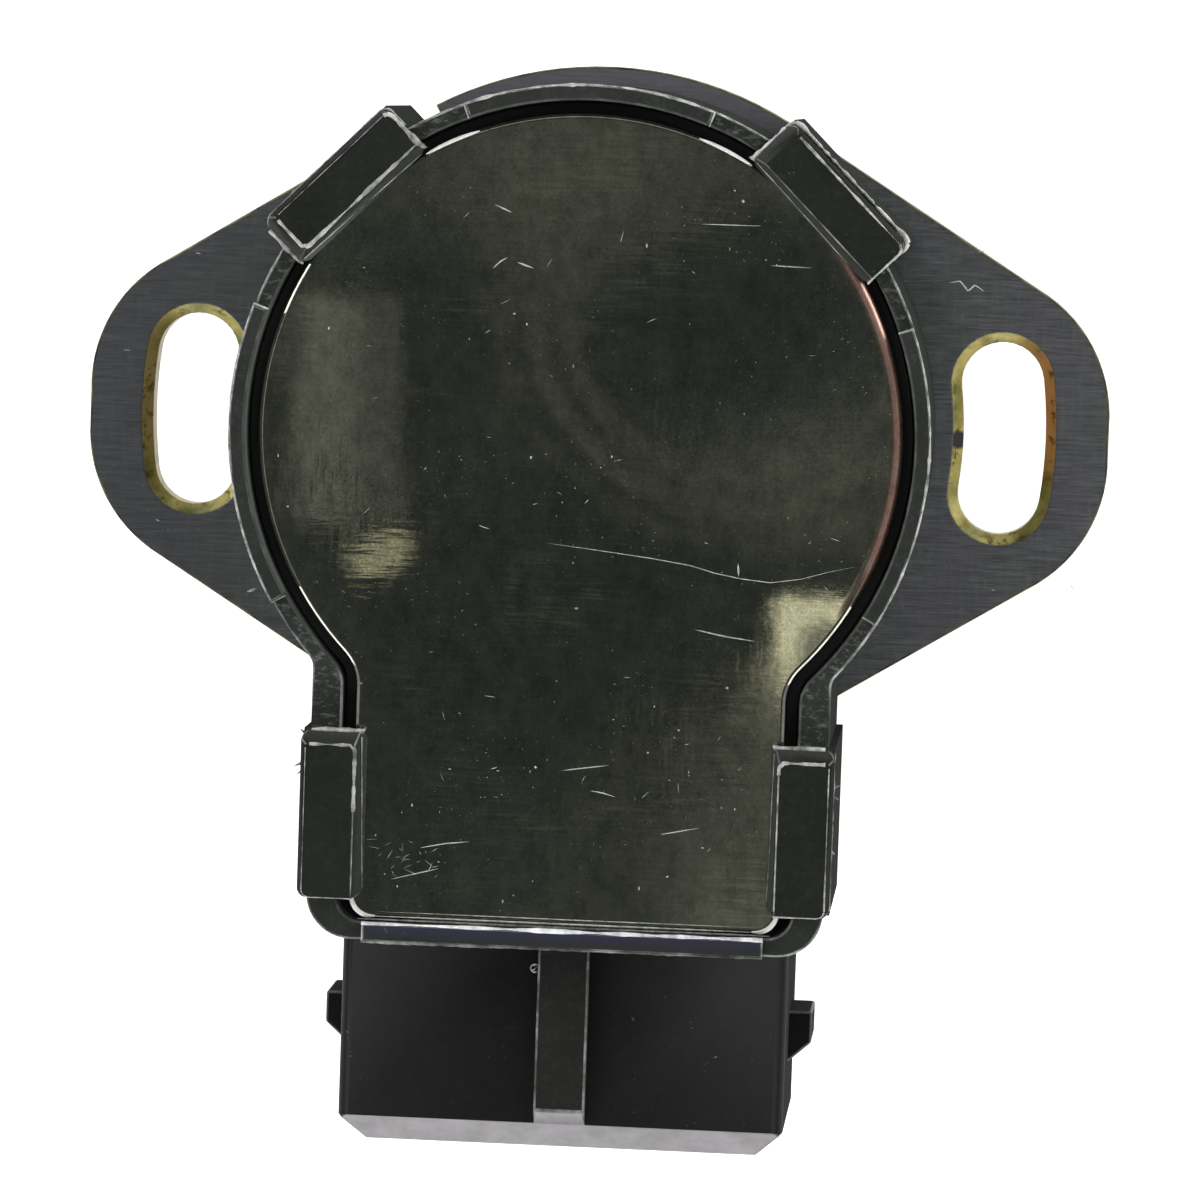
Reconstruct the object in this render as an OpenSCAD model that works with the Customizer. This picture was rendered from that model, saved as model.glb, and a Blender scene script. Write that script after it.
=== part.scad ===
// Throttle position sensor with a slotted steel mounting plate and a three-way connector.
// The origin is on the rotor's axis, at the face of the plate that seats on the throttle body.
// +Z points along the axis towards the cover, and the connector's mouth looks along -Y.
// All sizes are in millimetres.

/* [Mounting plate] */
// Radius of the round middle of the steel plate
plate_r = 19.6; // [19.2:0.1:21]
// Thickness of the steel plate
plate_t = 2; // [1.6:0.1:3]
// Distance from the axis to the tip of each ear
ear_reach = 28.1; // [27.8:0.1:31]
// Radius of the rounded corners of each ear
ear_corner_r = 8; // [6:0.1:9]
// Slope of the long edges that run from the middle to each ear, in degrees
ear_taper = 31.7; // [28:0.1:34]
// Radius of the circle that both screw slots follow
slot_path_r = 22.4; // [22.3:0.1:23.5]
// Width of each screw slot
slot_w = 4.5; // [4.2:0.1:4.9]
// Turn that each slot allows to either side of its middle, in degrees
slot_turn = 7.8; // [5:0.1:10]
// Width of the chamfer around each slot, on the cover side
slot_chamfer = 0.55; // [0.2:0.05:0.8]
// Direction of the middle of the notch in the plate's edge, in degrees
notch_dir = 134; // [130:1:138]
// Half of the angle that the notch takes up, in degrees
notch_half = 15.2; // [12:0.1:16]
// Distance from the axis to the floor of the notch
notch_r = 17.5; // [16.8:0.1:18.4]

/* [Seat on the throttle body] */
// Radius of the spigot that centres the sensor
spigot_r = 9; // [8.6:0.1:10]
// Length of the spigot below the plate
spigot_h = 3; // [2.6:0.1:4]
// Chamfer at the end of the spigot
spigot_chamfer = 0.3; // [0.1:0.1:0.6]
// Step from the spigot out to the collar that centres the plate
collar_step = 0.6; // [0.4:0.1:1.2]
// Clearance between the collar and the hole in the plate
collar_clear = 0.05; // [0.02:0.01:0.15]
// Number of formed pegs that hold the plate
stake_count = 3; // [3:1:4]
// Distance from the axis to each peg
stake_path_r = 13.6; // [13:0.1:14.5]
// Radius of the shank of each peg
stake_r = 1.2; // [0.9:0.1:1.4]
// Extra radius of each peg's formed head
stake_head = 0.8; // [0.4:0.1:1]
// Depth of each peg's head in the plate
stake_head_t = 0.9; // [0.5:0.1:1.1]
// Distance from the plate's face down to the peg's flush end
stake_recess = 0.1; // [0.05:0.05:0.3]
// Clearance around each peg
stake_clear = 0.05; // [0.02:0.01:0.12]

/* [Housing] */
// Gap between the rotor's disc and the wall around it
wall_gap = 2; // [1.8:0.1:2.2]
// Half of the neck's width
neck_half_w = 13.8; // [13.4:0.1:14.4]
// Distance from the axis to the outside of the neck's end wall
neck_end = 27.3; // [26.8:0.1:28.4]
// Radius of the neck's outer corners
neck_corner_r = 2.4; // [1.6:0.1:3]
// Radius of the inside corner where the round wall meets the neck
junction_r = 1; // [0.6:0.1:1.6]
// Height from the plate to the low part of the rim
body_h = 13.2; // [13:0.1:14.5]
// Height of the raised rim above the low rim
rim_raise = 0.8; // [0.5:0.1:1.2]
// Width of the rim around the round part
rim_w = 0.85; // [0.7:0.05:1.1]
// Width of the rim along the end wall
end_rim_w = 1; // [0.8:0.05:1.2]
// Width of the rim along both sides of the neck
neck_rim_w = 1.65; // [1.4:0.05:2]
// Half of the angle of the raised rim at the top, in degrees
rim_top_half = 20.8; // [18:0.1:22]
// Angle from the level to the upper end of each side rim, in degrees
rim_side_up = 20.2; // [17:0.1:21]
// Angle from the level to the lower end of each side rim, in degrees
rim_side_down = 30.3; // [28:0.1:34]
// Half of the length of the raised bar on the end wall
rim_bar_half = 10.7; // [9.8:0.1:11]
// Thickness of the housing's floor
floor_t = 2; // [1.6:0.1:2.4]
// Width of the ledge that carries the cover seal
ledge_w = 1.75; // [1.6:0.05:2]
// Width of the step that carries the resistor card
card_step = 1; // [0.8:0.1:1.2]

/* [Cover] */
// Thickness of the cover plate
cover_t = 1; // [0.8:0.1:1.2]
// Chamfer on the cover's outer edge
cover_edge = 0.3; // [0.1:0.05:0.4]
// Gap between the cover and the rim
cover_gap = 0.65; // [0.4:0.05:0.8]
// Gap between the cover and the bar on the end wall
cover_end_gap = 0.15; // [0.1:0.05:0.4]
// Radius of the cover's two corners
cover_corner_r = 1.3; // [0.8:0.1:1.8]
// Thickness of the seal under the cover
seal_t = 0.6; // [0.4:0.1:0.8]
// Width of the seal under the cover
seal_w = 1.3; // [1:0.1:1.5]
// Gap between the seal and the wall around it
seal_gap = 0.15; // [0.1:0.05:0.25]

/* [Cover tabs] */
// Length of each tab
tab_len = 8.9; // [8:0.1:9.2]
// Height of the tabs above the cover
tab_h = 1.6; // [1.2:0.1:2]
// Reach of the round part's tabs over the cover
tab_lap = 0.55; // [0.4:0.05:0.9]
// Reach of the neck's tabs over the cover
neck_tab_lap = 0.75; // [0.5:0.05:1]
// Slope of each tab's inner face, measured across its height
tab_lean = 0.5; // [0.1:0.05:0.6]
// Radius of each tab's corners, seen from above
tab_corner_r = 0.5; // [0.3:0.1:1.2]
// Slope at the first end of each tab, measured along it
tab_end_ease = 0.7; // [0.3:0.1:1]
// Distance that the round part's tabs stand back on their pads
tab_set_in = 0.15; // [0.1:0.05:0.6]
// Ease on each tab's outer top edge
tab_ease = 0.25; // [0.1:0.05:0.6]
// How far the round part's tab pads stand out from the ring
pad_out = 1.15; // [0.9:0.05:1.5]
// How far the neck's tab pads stand out from the neck
neck_pad_out = 0.35; // [0.2:0.05:0.6]
// Direction of the round part's tabs from the level, in degrees
tab_dir = 45; // [44:0.5:46]
// Distance from the axis to the middle of the neck's tabs
neck_tab_y = 20.5; // [20:0.1:21.2]

/* [Connector] */
// Outer width of the connector shroud
conn_w = 24; // [23.4:0.1:25]
// Outer height of the connector shroud
conn_h = 12.8; // [12.6:0.1:13.2]
// Height of the connector's middle above the plate's seating face
conn_z = 6.5; // [6.4:0.1:6.8]
// Distance from the axis to the connector's mouth
conn_mouth = 38.6; // [38:0.1:41]
// Wall of the connector shroud
conn_wall = 1.75; // [1.6:0.05:1.8]
// Depth of the connector's hollow
conn_depth = 14.6; // [14:0.1:15.2]
// Radius of the shroud's long edges
conn_corner_r = 0.6; // [0.4:0.1:1.2]
// Chamfer around the outside of the mouth
mouth_chamfer = 1.45; // [1:0.05:1.5]
// Gap between the plate's edge and the connector shroud
shroud_gap = 1; // [0.6:0.1:1.4]
// Width of the guide rib on the shroud
rib_w = 2.75; // [2:0.05:3.4]
// Height of the guide rib
rib_h = 0.8; // [0.5:0.05:1]
// How far the latch barbs stand out
barb_out = 1.25; // [0.8:0.05:1.6]
// Distance from the axis to the shoulder of each barb
barb_y = 31.1; // [30.5:0.1:32]
// Length of each barb
barb_len = 2.8; // [2.4:0.1:3.4]
// Length of the sloped part of each barb
barb_ramp = 1.1; // [0.8:0.1:1.5]
// Height of each barb
barb_h = 4.2; // [3:0.1:5]

/* [Terminals] */
// Number of terminal blades
blade_count = 3; // [3:1:3]
// Distance between neighbouring blades
blade_pitch = 5; // [4.8:0.1:5.4]
// Width of each blade
blade_w = 2.8; // [2.4:0.1:3]
// Thickness of each blade
blade_t = 0.8; // [0.6:0.1:0.9]
// Distance from the mouth back to the blades' tips
blade_setback = 3; // [2.5:0.1:4]
// Length of the point on each blade
blade_point = 1; // [0.6:0.1:1.4]
// Clearance around a blade in the wall
blade_clear = 0.05; // [0.02:0.01:0.1]
// Thickness of the wall behind the connector's hollow
back_wall = 2.4; // [2:0.1:2.6]
// Length of each blade inside the housing
blade_inside = 2.6; // [2.2:0.1:3]
// Width of each contact clip
clip_w = 2; // [1.4:0.1:2.4]
// Thickness of the contact clips and of the wiper
clip_t = 0.3; // [0.2:0.05:0.4]
// Length of the foot of each contact clip
clip_foot = 1.8; // [1.4:0.1:2.1]
// Length of the pad at the top of each contact clip
clip_pad = 2.2; // [1.6:0.1:2.6]

/* [Resistor card] */
// Thickness of the ceramic card
card_t = 1; // [0.8:0.1:1.2]
// Gap between the card's edge and the wall around it
card_gap = 0.1; // [0.05:0.01:0.2]
// Height from the card to the seal's ledge
card_drop = 1; // [0.8:0.1:1.2]
// Thickness of the printed tracks
track_t = 0.1; // [0.06:0.01:0.15]
// Width of the printed tracks
track_w = 2; // [1.6:0.1:2.2]
// Distance from the disc's edge in to the middle of the resistor track
track_inset = 1.4; // [1.2:0.1:1.6]
// Distance between the middles of the resistor track and the collector track
track_pitch = 3.2; // [2.8:0.1:3.4]

/* [Rotor] */
// Radius of the rotor's stem
stem_r = 4.95; // [4.8:0.01:5.2]
// Radial running clearance of the stem
stem_clear = 0.05; // [0.02:0.01:0.1]
// Distance from the spigot's end up to the stem's end
stem_recess = 0.4; // [0.3:0.1:0.8]
// Step from the stem out to the rotor's hub
hub_step = 2.05; // [1.8:0.05:2.3]
// Height of the hub between the thrust washer and the disc
hub_h = 2.2; // [2.1:0.1:2.4]
// Width of the disc outside the spring's legs
disc_margin = 0.8; // [0.6:0.1:1]
// Thickness of the rotor's disc
disc_t = 1.8; // [1.6:0.1:2]
// Radius of the pivot on top of the disc
pivot_r = 2; // [1.6:0.1:2.4]
// Clearance around the pivot in the card
pivot_clear = 0.3; // [0.2:0.05:0.4]
// Width of the slot that the throttle shaft drives
drive_w = 3.2; // [2.6:0.1:3.6]
// Length of the drive slot
drive_len = 7.6; // [7:0.1:8]
// Depth of the drive slot
drive_depth = 4.6; // [3.6:0.1:5]
// Turn of the rotor from stop to stop, in degrees
rotor_turn = 100; // [90:1:106]
// Width of the stop lug, in degrees
lug_angle = 12; // [10:1:14]
// Reach of the stop lug past the disc
lug_out = 1.3; // [1:0.1:1.4]
// Width of each stop on the housing, in degrees
stop_angle = 8; // [6:1:10]
// Free play between the lug and each stop, in degrees
stop_play = 1.2; // [0.8:0.1:2]
// Gap between the housing's stops and the disc
stop_gap = 0.4; // [0.3:0.05:0.6]

/* [Wiper] */
// Distance from the pivot to the wiper's foot
wiper_foot = 1; // [0.6:0.1:1.4]
// Distance from the collector track back to where the fingers rise
wiper_rise = 3; // [2.4:0.1:3.4]
// Gap between the wiper's tips and the tracks
wiper_gap = 0.15; // [0.1:0.05:0.3]

/* [Bushing, washer and seals] */
// Wall of the rotor's bushing
bush_wall = 1; // [0.8:0.1:1.2]
// Reach of the bushing's flange
bush_flange = 1.5; // [1:0.1:1.6]
// Thickness of the bushing's flange
bush_flange_t = 0.8; // [0.6:0.1:0.9]
// Thickness of the thrust washer
washer_t = 0.4; // [0.3:0.05:0.5]
// Play above the thrust washer
washer_play = 0.1; // [0.05:0.05:0.2]
// Height of the shaft seal
lip_seal_h = 1.2; // [1:0.1:1.4]
// Distance from the spigot's end up to the shaft seal
lip_seal_recess = 0.3; // [0.2:0.1:0.4]
// Width of the shaft seal
lip_seal_w = 2.5; // [2:0.1:2.8]
// Width of each flat on the shaft seal's end
lip_seal_flat = 0.4; // [0.3:0.05:0.6]

/* [Return spring] */
// Radius of the spring's wire
wire_r = 0.4; // [0.3:0.02:0.42]
// Distance from the hub to the middle of the spring's wire
coil_space = 2.6; // [2.2:0.1:2.9]
// Number of turns of the spring
coil_turns = 2.5; // [2:0.25:2.75]
// Gap between the spring and the floor or the disc
coil_gap = 0.1; // [0.05:0.01:0.15]
// Length of each leg of the spring
leg_len = 2.6; // [2:0.1:2.8]
// Radius of the posts that hold the legs
post_r = 0.7; // [0.5:0.1:0.9]

/* [Drive clip] */
// Thickness of the clip in the drive slot
grip_t = 0.25; // [0.2:0.05:0.35]
// Width of the clip in the drive slot
grip_w = 3; // [2:0.1:4]
// Bow of the clip into the slot
grip_bow = 0.45; // [0.3:0.05:0.6]

/* [Hidden] */
$fn = 96;

// Overshoot of every cut past the face that it opens
cut = 1;
// Facets around the cover's small corners
corner_fn = 32;

// Heights
floor_z = plate_t + floor_t;
cover_top = plate_t + body_h;
cover_z = cover_top - cover_t;
ledge_z = cover_z - seal_t;
rim_z = cover_top + rim_raise;
tab_z = cover_top + tab_h;
card_top = ledge_z - card_drop;
card_z = card_top - card_t;
track_z = card_z - track_t;
flange_z = floor_z + bush_flange_t;
washer_z = flange_z + washer_t;
hub_z = washer_z + washer_play;
disc_z = hub_z + hub_h;
disc_top = disc_z + disc_t;
stem_z = stem_recess - spigot_h;
lip_seal_z = lip_seal_recess - spigot_h;
bush_z = lip_seal_z + lip_seal_h;

// Round pieces from the stem outwards: hub, spring, disc, cavity, steps and rim
hub_r = stem_r + hub_step;
coil_r = hub_r + coil_space;
disc_r = coil_r + leg_len + disc_margin;
cavity_r = disc_r + wall_gap;
seat_r = cavity_r + card_step;
well_r = seat_r + ledge_w;
ring_r = well_r + rim_w;
track_r = disc_r - track_inset;
collector_r = track_r - track_pitch;

// Plan sizes of the neck: the well for the cover and the steps below it
well_half_w = neck_half_w - neck_rim_w;
well_end = neck_end - end_rim_w;
seat_half_w = well_half_w - ledge_w;
cavity_half_w = seat_half_w - card_step;
cover_r = well_r - cover_gap;
cover_half_w = well_half_w - cover_gap;
cover_end = well_end - cover_end_gap;

// Connector
hollow_end = conn_mouth - conn_depth;
chamber_end = hollow_end - back_wall;
shroud_start = plate_r + shroud_gap;
conn_top = conn_z + conn_h / 2;
conn_low = conn_z - conn_h / 2;
hollow_w = conn_w - 2 * conn_wall;
hollow_h = conn_h - 2 * conn_wall;
blade_z = conn_z - blade_t / 2;
blade_top = conn_z + blade_t / 2;
blade_tip = conn_mouth - blade_setback;
blade_end = chamber_end - blade_inside;
blade_first = -(blade_count - 1) / 2 * blade_pitch;

// Bores around the rotor
bore_r = stem_r + stem_clear;
bush_r = bore_r + bush_wall;
flange_r = bush_r + bush_flange;
lip_seal_r = bore_r + lip_seal_w;
collar_r = spigot_r + collar_step;

// Turning parts: the lug rests beside the first stop and travels over the top of the ring
lug_rest = 90 - rotor_turn / 2;
stop_offset = lug_angle / 2 + stop_play + stop_angle / 2;
stop_inner = disc_r + stop_gap;
lug_r = disc_r + lug_out;

// Return spring
coil_low = floor_z + coil_gap + wire_r;
coil_high = disc_z - coil_gap - wire_r;
leg_low_dir = 250;
leg_high_dir = leg_low_dir + 360 * coil_turns;
coil_steps = 20;
wire_sides = 8;

// Points on an arc around the origin
function arc(r, a0, a1, steps) = [for (i = [0:steps]) r * [cos(a0 + (a1 - a0) * i / steps),
                                                        sin(a0 + (a1 - a0) * i / steps)]];

// Outline of a slot that follows an arc: its two long sides and its two round ends
function end_cap(dir, r, w, start, steps) = [for (i = [1:steps - 1])
    r * [cos(dir), sin(dir)] + w / 2 * [cos(start + 180 * i / steps), sin(start + 180 * i / steps)]];
function slot_outline(r, w, turn, steps) = concat(
    arc(r + w / 2, -turn, turn, steps), end_cap(turn, r, w, turn, 2 * steps),
    arc(r - w / 2, turn, -turn, steps), end_cap(-turn, r, w, 180 - turn, 2 * steps));

// A flat wedge from the axis, used to keep part of a ring
module sector(a0, a1, r) {
    steps = 4;
    polygon(concat([[0, 0]], arc(r / cos((a1 - a0) / steps / 2), a0, a1, steps)));
}

// A flat ring. Its arcs start at the bottom, where no rim, tab or track lies.
module band(outer, inner) {
    rotate(-90) difference() {
        circle(outer);
        circle(inner);
    }
}

// A flat rectangle from corner to corner with round corners
module round_rect(x0, y0, x1, y1, r) {
    translate([x0 + r, y0]) square([x1 - x0 - 2 * r, y1 - y0]);
    translate([x0, y0 + r]) square([x1 - x0, y1 - y0 - 2 * r]);
    for (x = [x0 + r, x1 - r]) {
        for (y = [y0 + r, y1 - r]) {
            translate([x, y]) circle(r);
        }
    }
}

// The hollow curve that leads from a circle into the straight sides of a neck
module junction(r, half_w, hollow) {
    x = half_w + hollow;
    y = -sqrt(pow(r + hollow, 2) - pow(x, 2));
    touch = r / (r + hollow) * [x, y];
    difference() {
        union() {
            polygon([[0, y], [x, y], touch]);
            polygon([[0, y], [-touch[0], touch[1]], [-x, y]]);
        }
        for (side = [-1, 1]) {
            translate([side * x, y]) circle(hollow);
        }
    }
}

// The keyhole outline that the housing, its steps, the seal, the card and the cover share
module keyhole(r, half_w, end, corner) {
    rotate(-90) circle(r);
    round_rect(-half_w, -end, half_w, 0, corner);
    junction(r, half_w, junction_r + ring_r - r);
}

// Extrudes a profile drawn in X and Z along Y, centred
module along_y(length) {
    rotate([90, 0, 0]) linear_extrude(length, center = true) children();
}

// Extrudes a profile drawn in Y and Z along X, centred
module along_x(length) {
    rotate([90, 0, 90]) linear_extrude(length, center = true) children();
}

// One ear of the mounting plate on the +X side: two round corners and the straight edges to the middle
module ear() {
    overlap = 0.01;
    n = [sin(ear_taper), cos(ear_taper)];
    corner_x = ear_reach - ear_corner_r;
    corner_y = (plate_r - ear_corner_r - corner_x * n[0]) / n[1];
    side = [[ear_reach - overlap, corner_y], [corner_x, corner_y] + (ear_corner_r - overlap) * n,
            (plate_r - overlap) * n];
    polygon(concat([[0, 0]], [for (i = [2:-1:0]) [side[i][0], -side[i][1]]], side));
    for (y = [-corner_y, corner_y]) {
        translate([corner_x, y]) circle(ear_corner_r);
    }
}

// Flat outline of the mounting plate, with its notch but without its holes
module plate_outline() {
    difference() {
        union() {
            circle(plate_r);
            ear();
            rotate(180) ear();
        }
        intersection() {
            band(plate_r + cut, notch_r);
            sector(notch_dir - notch_half, notch_dir + notch_half, plate_r + 2 * cut);
        }
    }
}

// The through part of one screw slot and the chamfer at its upper edge
module screw_slot() {
    steps = 8;
    inner = slot_outline(slot_path_r, slot_w, slot_turn, steps);
    outer = slot_outline(slot_path_r, slot_w + 2 * slot_chamfer, slot_turn, steps);
    rise = slot_chamfer;
    n = len(inner);
    translate([0, 0, -cut]) linear_extrude(plate_t + 2 * cut) polygon(inner);
    low = [for (p = inner) [p[0], p[1], plate_t - rise]];
    middle = [for (p = outer) [p[0], p[1], plate_t]];
    high = [for (p = outer) [p[0], p[1], plate_t + cut]];
    bottom = [for (i = [0:n - 1]) i];
    top = [for (i = [n - 1:-1:0]) i + 2 * n];
    wall_a = [for (k = [0, n]) for (i = [0:n - 1]) [k + i, k + n + i, k + n + (i + 1) % n]];
    wall_b = [for (k = [0, n]) for (i = [0:n - 1]) [k + i, k + n + (i + 1) % n, k + (i + 1) % n]];
    polyhedron(points = concat(low, middle, high), faces = concat([bottom], [top], wall_a, wall_b));
}

module mounting_plate() {
    color("#383b3f") difference() {
        linear_extrude(plate_t) plate_outline();
        translate([0, 0, -cut]) cylinder(r = collar_r + collar_clear, h = plate_t + 2 * cut);
        for (side = [0, 180]) {
            rotate(side) screw_slot();
        }
        stakes(stake_clear, cut);
    }
}

// The pegs that hold the mounting plate: a shank and a countersunk head, grown by a clearance
module stakes(grow, extra) {
    head_top = stake_recess + stake_head_t;
    head_r = stake_r + stake_head;
    for (i = [0:stake_count - 1]) {
        rotate(90 + i * 360 / stake_count) translate([stake_path_r, 0, 0]) {
            translate([0, 0, stake_recess]) cylinder(r = stake_r + grow, h = plate_t - stake_recess + cut);
            translate([0, 0, stake_recess])
                cylinder(r1 = head_r + grow, r2 = stake_r + grow, h = stake_head_t);
            if (extra > 0) {
                translate([0, 0, -extra]) cylinder(r = head_r + grow, h = extra + stake_recess);
            }
        }
    }
}

// Flat outline of a pad on the wall that carries a tab, with its outer face at x = reach
module tab_pad(reach, root) {
    translate([root, -tab_len / 2]) square([reach - root, tab_len]);
}

// A formed tab: its inner face leans back from the cover, one end slopes, and its corners are round
module tab_lip(inner, reach, root) {
    half = tab_len / 2;
    low = cover_top - cut;
    intersection() {
        along_y(tab_len) polygon([[inner, cover_top], [root, cover_top], [root, low], [reach, low],
                                  [reach, tab_z - tab_ease], [reach - tab_ease, tab_z],
                                  [inner + tab_lean, tab_z]]);
        along_x(2 * (reach + cut)) polygon([[-half, low], [half, low], [half, tab_z - tab_end_ease],
                                            [half - tab_end_ease, tab_z], [-half, tab_z]]);
        translate([0, 0, low]) linear_extrude(tab_h + cut)
            round_rect(inner, -half, reach, half, tab_corner_r);
    }
}

// Places its children at the two tabs of the round part
module at_ring_tabs() {
    for (a = [tab_dir, 180 - tab_dir]) {
        rotate(a) children();
    }
}

// Places its children at the two tabs of the neck
module at_neck_tabs() {
    for (side = [0, 1]) {
        mirror([side, 0, 0]) translate([0, -neck_tab_y, 0]) children();
    }
}

// The raised parts of the rim: left, right and top arcs, and the bar on the end wall
module raised_rim() {
    reach = ring_r + cut;
    translate([0, 0, cover_top - cut]) linear_extrude(rim_raise + cut) {
        intersection() {
            band(ring_r, well_r);
            union() {
                sector(90 - rim_top_half, 90 + rim_top_half, reach);
                sector(-rim_side_down, rim_side_up, reach);
                sector(180 - rim_side_up, 180 + rim_side_down, reach);
            }
        }
        translate([-rim_bar_half, -neck_end]) square([2 * rim_bar_half, end_rim_w]);
    }
}

// The outside of the connector: a shroud with a guide rib, two latch barbs and a chamfered mouth
module connector_outside() {
    length = conn_mouth - shroud_start;
    middle = -(conn_mouth + shroud_start) / 2;
    rib_start = neck_end - end_rim_w;
    rib_top = conn_top + rib_h;
    difference() {
        union() {
            translate([0, middle, 0]) along_y(length)
                round_rect(-conn_w / 2, conn_low, conn_w / 2, conn_top, conn_corner_r);
            translate([-rib_w / 2, -conn_mouth, conn_z])
                cube([rib_w, conn_mouth - rib_start, rib_top - conn_z]);
        }
        for (side = [0, 1]) {
            mirror([side, 0, 0]) translate([0, 0, conn_z]) linear_extrude(2 * conn_h, center = true)
                polygon([[conn_w / 2 - mouth_chamfer, -conn_mouth], [conn_w / 2 + cut, -conn_mouth],
                         [conn_w / 2 + cut, -conn_mouth + mouth_chamfer + cut]]);
            translate([0, 0, conn_z]) mirror([0, 0, side]) along_x(2 * conn_w)
                polygon([[-conn_mouth, conn_h / 2 - mouth_chamfer], [-conn_mouth, conn_h / 2 + 2 * cut],
                         [-conn_mouth + mouth_chamfer + 2 * cut, conn_h / 2 + 2 * cut]]);
        }
    }
    barb_root = conn_w / 2;
    barb_end = -barb_y - barb_len;
    for (side = [0, 1]) {
        mirror([side, 0, 0]) translate([0, 0, conn_z]) linear_extrude(barb_h, center = true)
            polygon([[barb_root - cut, -barb_y], [barb_root + barb_out, -barb_y],
                     [barb_root + barb_out, barb_end + barb_ramp], [barb_root, barb_end],
                     [barb_root - cut, barb_end]]);
    }
}

// The hollow that the plug enters
module connector_hollow() {
    length = conn_depth + cut;
    middle = -(hollow_end + length / 2);
    translate([0, middle, conn_z]) cube([hollow_w, length, hollow_h], center = true);
}

// One blade from its tip to its inner end, grown by a clearance
module blade_shape(grow) {
    tip = blade_tip + grow;
    half = blade_w / 2 + grow;
    translate([0, 0, blade_z - grow]) linear_extrude(blade_t + 2 * grow)
        polygon([[-half, -blade_end + grow], [half, -blade_end + grow], [half, -tip + blade_point],
                 [half / 2, -tip], [-half / 2, -tip], [-half, -tip + blade_point]]);
}

// Places its children at one blade
module at_blade(i) {
    translate([blade_first + i * blade_pitch, 0, 0]) children();
}

// The stops that limit the rotor, on the wall of the cavity
module rotor_stops() {
    for (a = [lug_rest - stop_offset, lug_rest + rotor_turn + stop_offset]) {
        rotate(a) translate([0, 0, floor_z - cut]) linear_extrude(disc_top - floor_z + cut) intersection() {
            band(cavity_r + cut, stop_inner);
            sector(-stop_angle / 2, stop_angle / 2, ring_r);
        }
    }
}

// The post that holds the spring's lower leg. It stands on the side towards which the rotor opens.
module spring_anchor() {
    rotate(leg_low_dir) translate([coil_r + leg_len - post_r, wire_r + post_r, floor_z - cut])
        cylinder(r = post_r, h = coil_low + wire_r - floor_z + cut);
}

// Moulded housing: body, floor, spigot, formed tabs, rim and connector in one piece
module housing() {
    shelf_start = blade_end + blade_clear;
    color("#26292a") union() {
        difference() {
            union() {
                translate([0, 0, plate_t]) linear_extrude(body_h) {
                    keyhole(ring_r, neck_half_w, neck_end, neck_corner_r);
                    at_ring_tabs() tab_pad(ring_r + pad_out, seat_r + ledge_w / 2);
                    at_neck_tabs() tab_pad(neck_half_w + neck_pad_out, seat_half_w + ledge_w / 2);
                }
                raised_rim();
                connector_outside();
                cylinder(r = collar_r, h = plate_t + cut);
                translate([0, 0, spigot_chamfer - spigot_h]) cylinder(r = spigot_r, h = spigot_h);
                translate([0, 0, -spigot_h])
                    cylinder(r1 = spigot_r - spigot_chamfer, r2 = spigot_r, h = spigot_chamfer);
            }
            translate([0, 0, ledge_z]) linear_extrude(rim_z)
                keyhole(well_r, well_half_w, well_end, cover_corner_r);
            translate([0, 0, card_z]) linear_extrude(rim_z)
                keyhole(seat_r, seat_half_w, chamber_end, cover_corner_r);
            translate([0, 0, floor_z]) linear_extrude(rim_z)
                keyhole(cavity_r, cavity_half_w, chamber_end, cover_corner_r);
            translate([0, 0, bush_z]) cylinder(r = bush_r, h = rim_z);
            translate([0, 0, -spigot_h - cut]) cylinder(r = lip_seal_r, h = bush_z + spigot_h + cut);
            connector_hollow();
            for (i = [0:blade_count - 1]) {
                at_blade(i) blade_shape(blade_clear);
            }
        }
        intersection() {
            rotor_stops();
            translate([0, 0, plate_t]) cylinder(r = ring_r - rim_w, h = body_h);
        }
        spring_anchor();
        stakes(0, 0);
        translate([-cavity_half_w - cut, -chamber_end - cut, floor_z - cut])
            cube([2 * (cavity_half_w + cut), chamber_end + cut - shelf_start, blade_z - floor_z + cut]);
        at_ring_tabs() tab_lip(cover_r - tab_lap, ring_r + pad_out - tab_set_in, well_r + tab_lean);
        at_neck_tabs()
            tab_lip(cover_half_w - neck_tab_lap, neck_half_w + neck_pad_out, well_half_w + tab_lean);
    }
}

// Steel cover with a chamfered upper edge
module cover_plate() {
    flat_t = cover_t - cover_edge;
    inner_r = cover_r - cover_edge;
    top_r = cover_corner_r - cover_edge;
    color("#2f302b") translate([0, 0, cover_z]) {
        linear_extrude(flat_t) keyhole(cover_r, cover_half_w, cover_end, cover_corner_r);
        translate([0, 0, flat_t]) cylinder(r1 = cover_r, r2 = inner_r, h = cover_edge);
        hull() {
            for (x = [-1, 1]) {
                for (y = [0, cover_end - cover_corner_r]) {
                    translate([x * (cover_half_w - cover_corner_r), -y, flat_t])
                        cylinder(r1 = cover_corner_r, r2 = top_r, h = cover_edge, $fn = corner_fn);
                }
            }
        }
        translate([0, 0, flat_t]) linear_extrude(cover_edge)
            junction(inner_r, cover_half_w - cover_edge, junction_r + ring_r - inner_r);
    }
}

// Rubber seal between the ledge and the cover
module cover_seal() {
    outer = seal_gap;
    inner = seal_gap + seal_w;
    color("#1b1b1c") translate([0, 0, ledge_z]) linear_extrude(seal_t) difference() {
        keyhole(well_r - outer, well_half_w - outer, well_end - outer, cover_corner_r);
        keyhole(well_r - inner, well_half_w - inner, well_end - inner, cover_corner_r / 2);
    }
}

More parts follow.
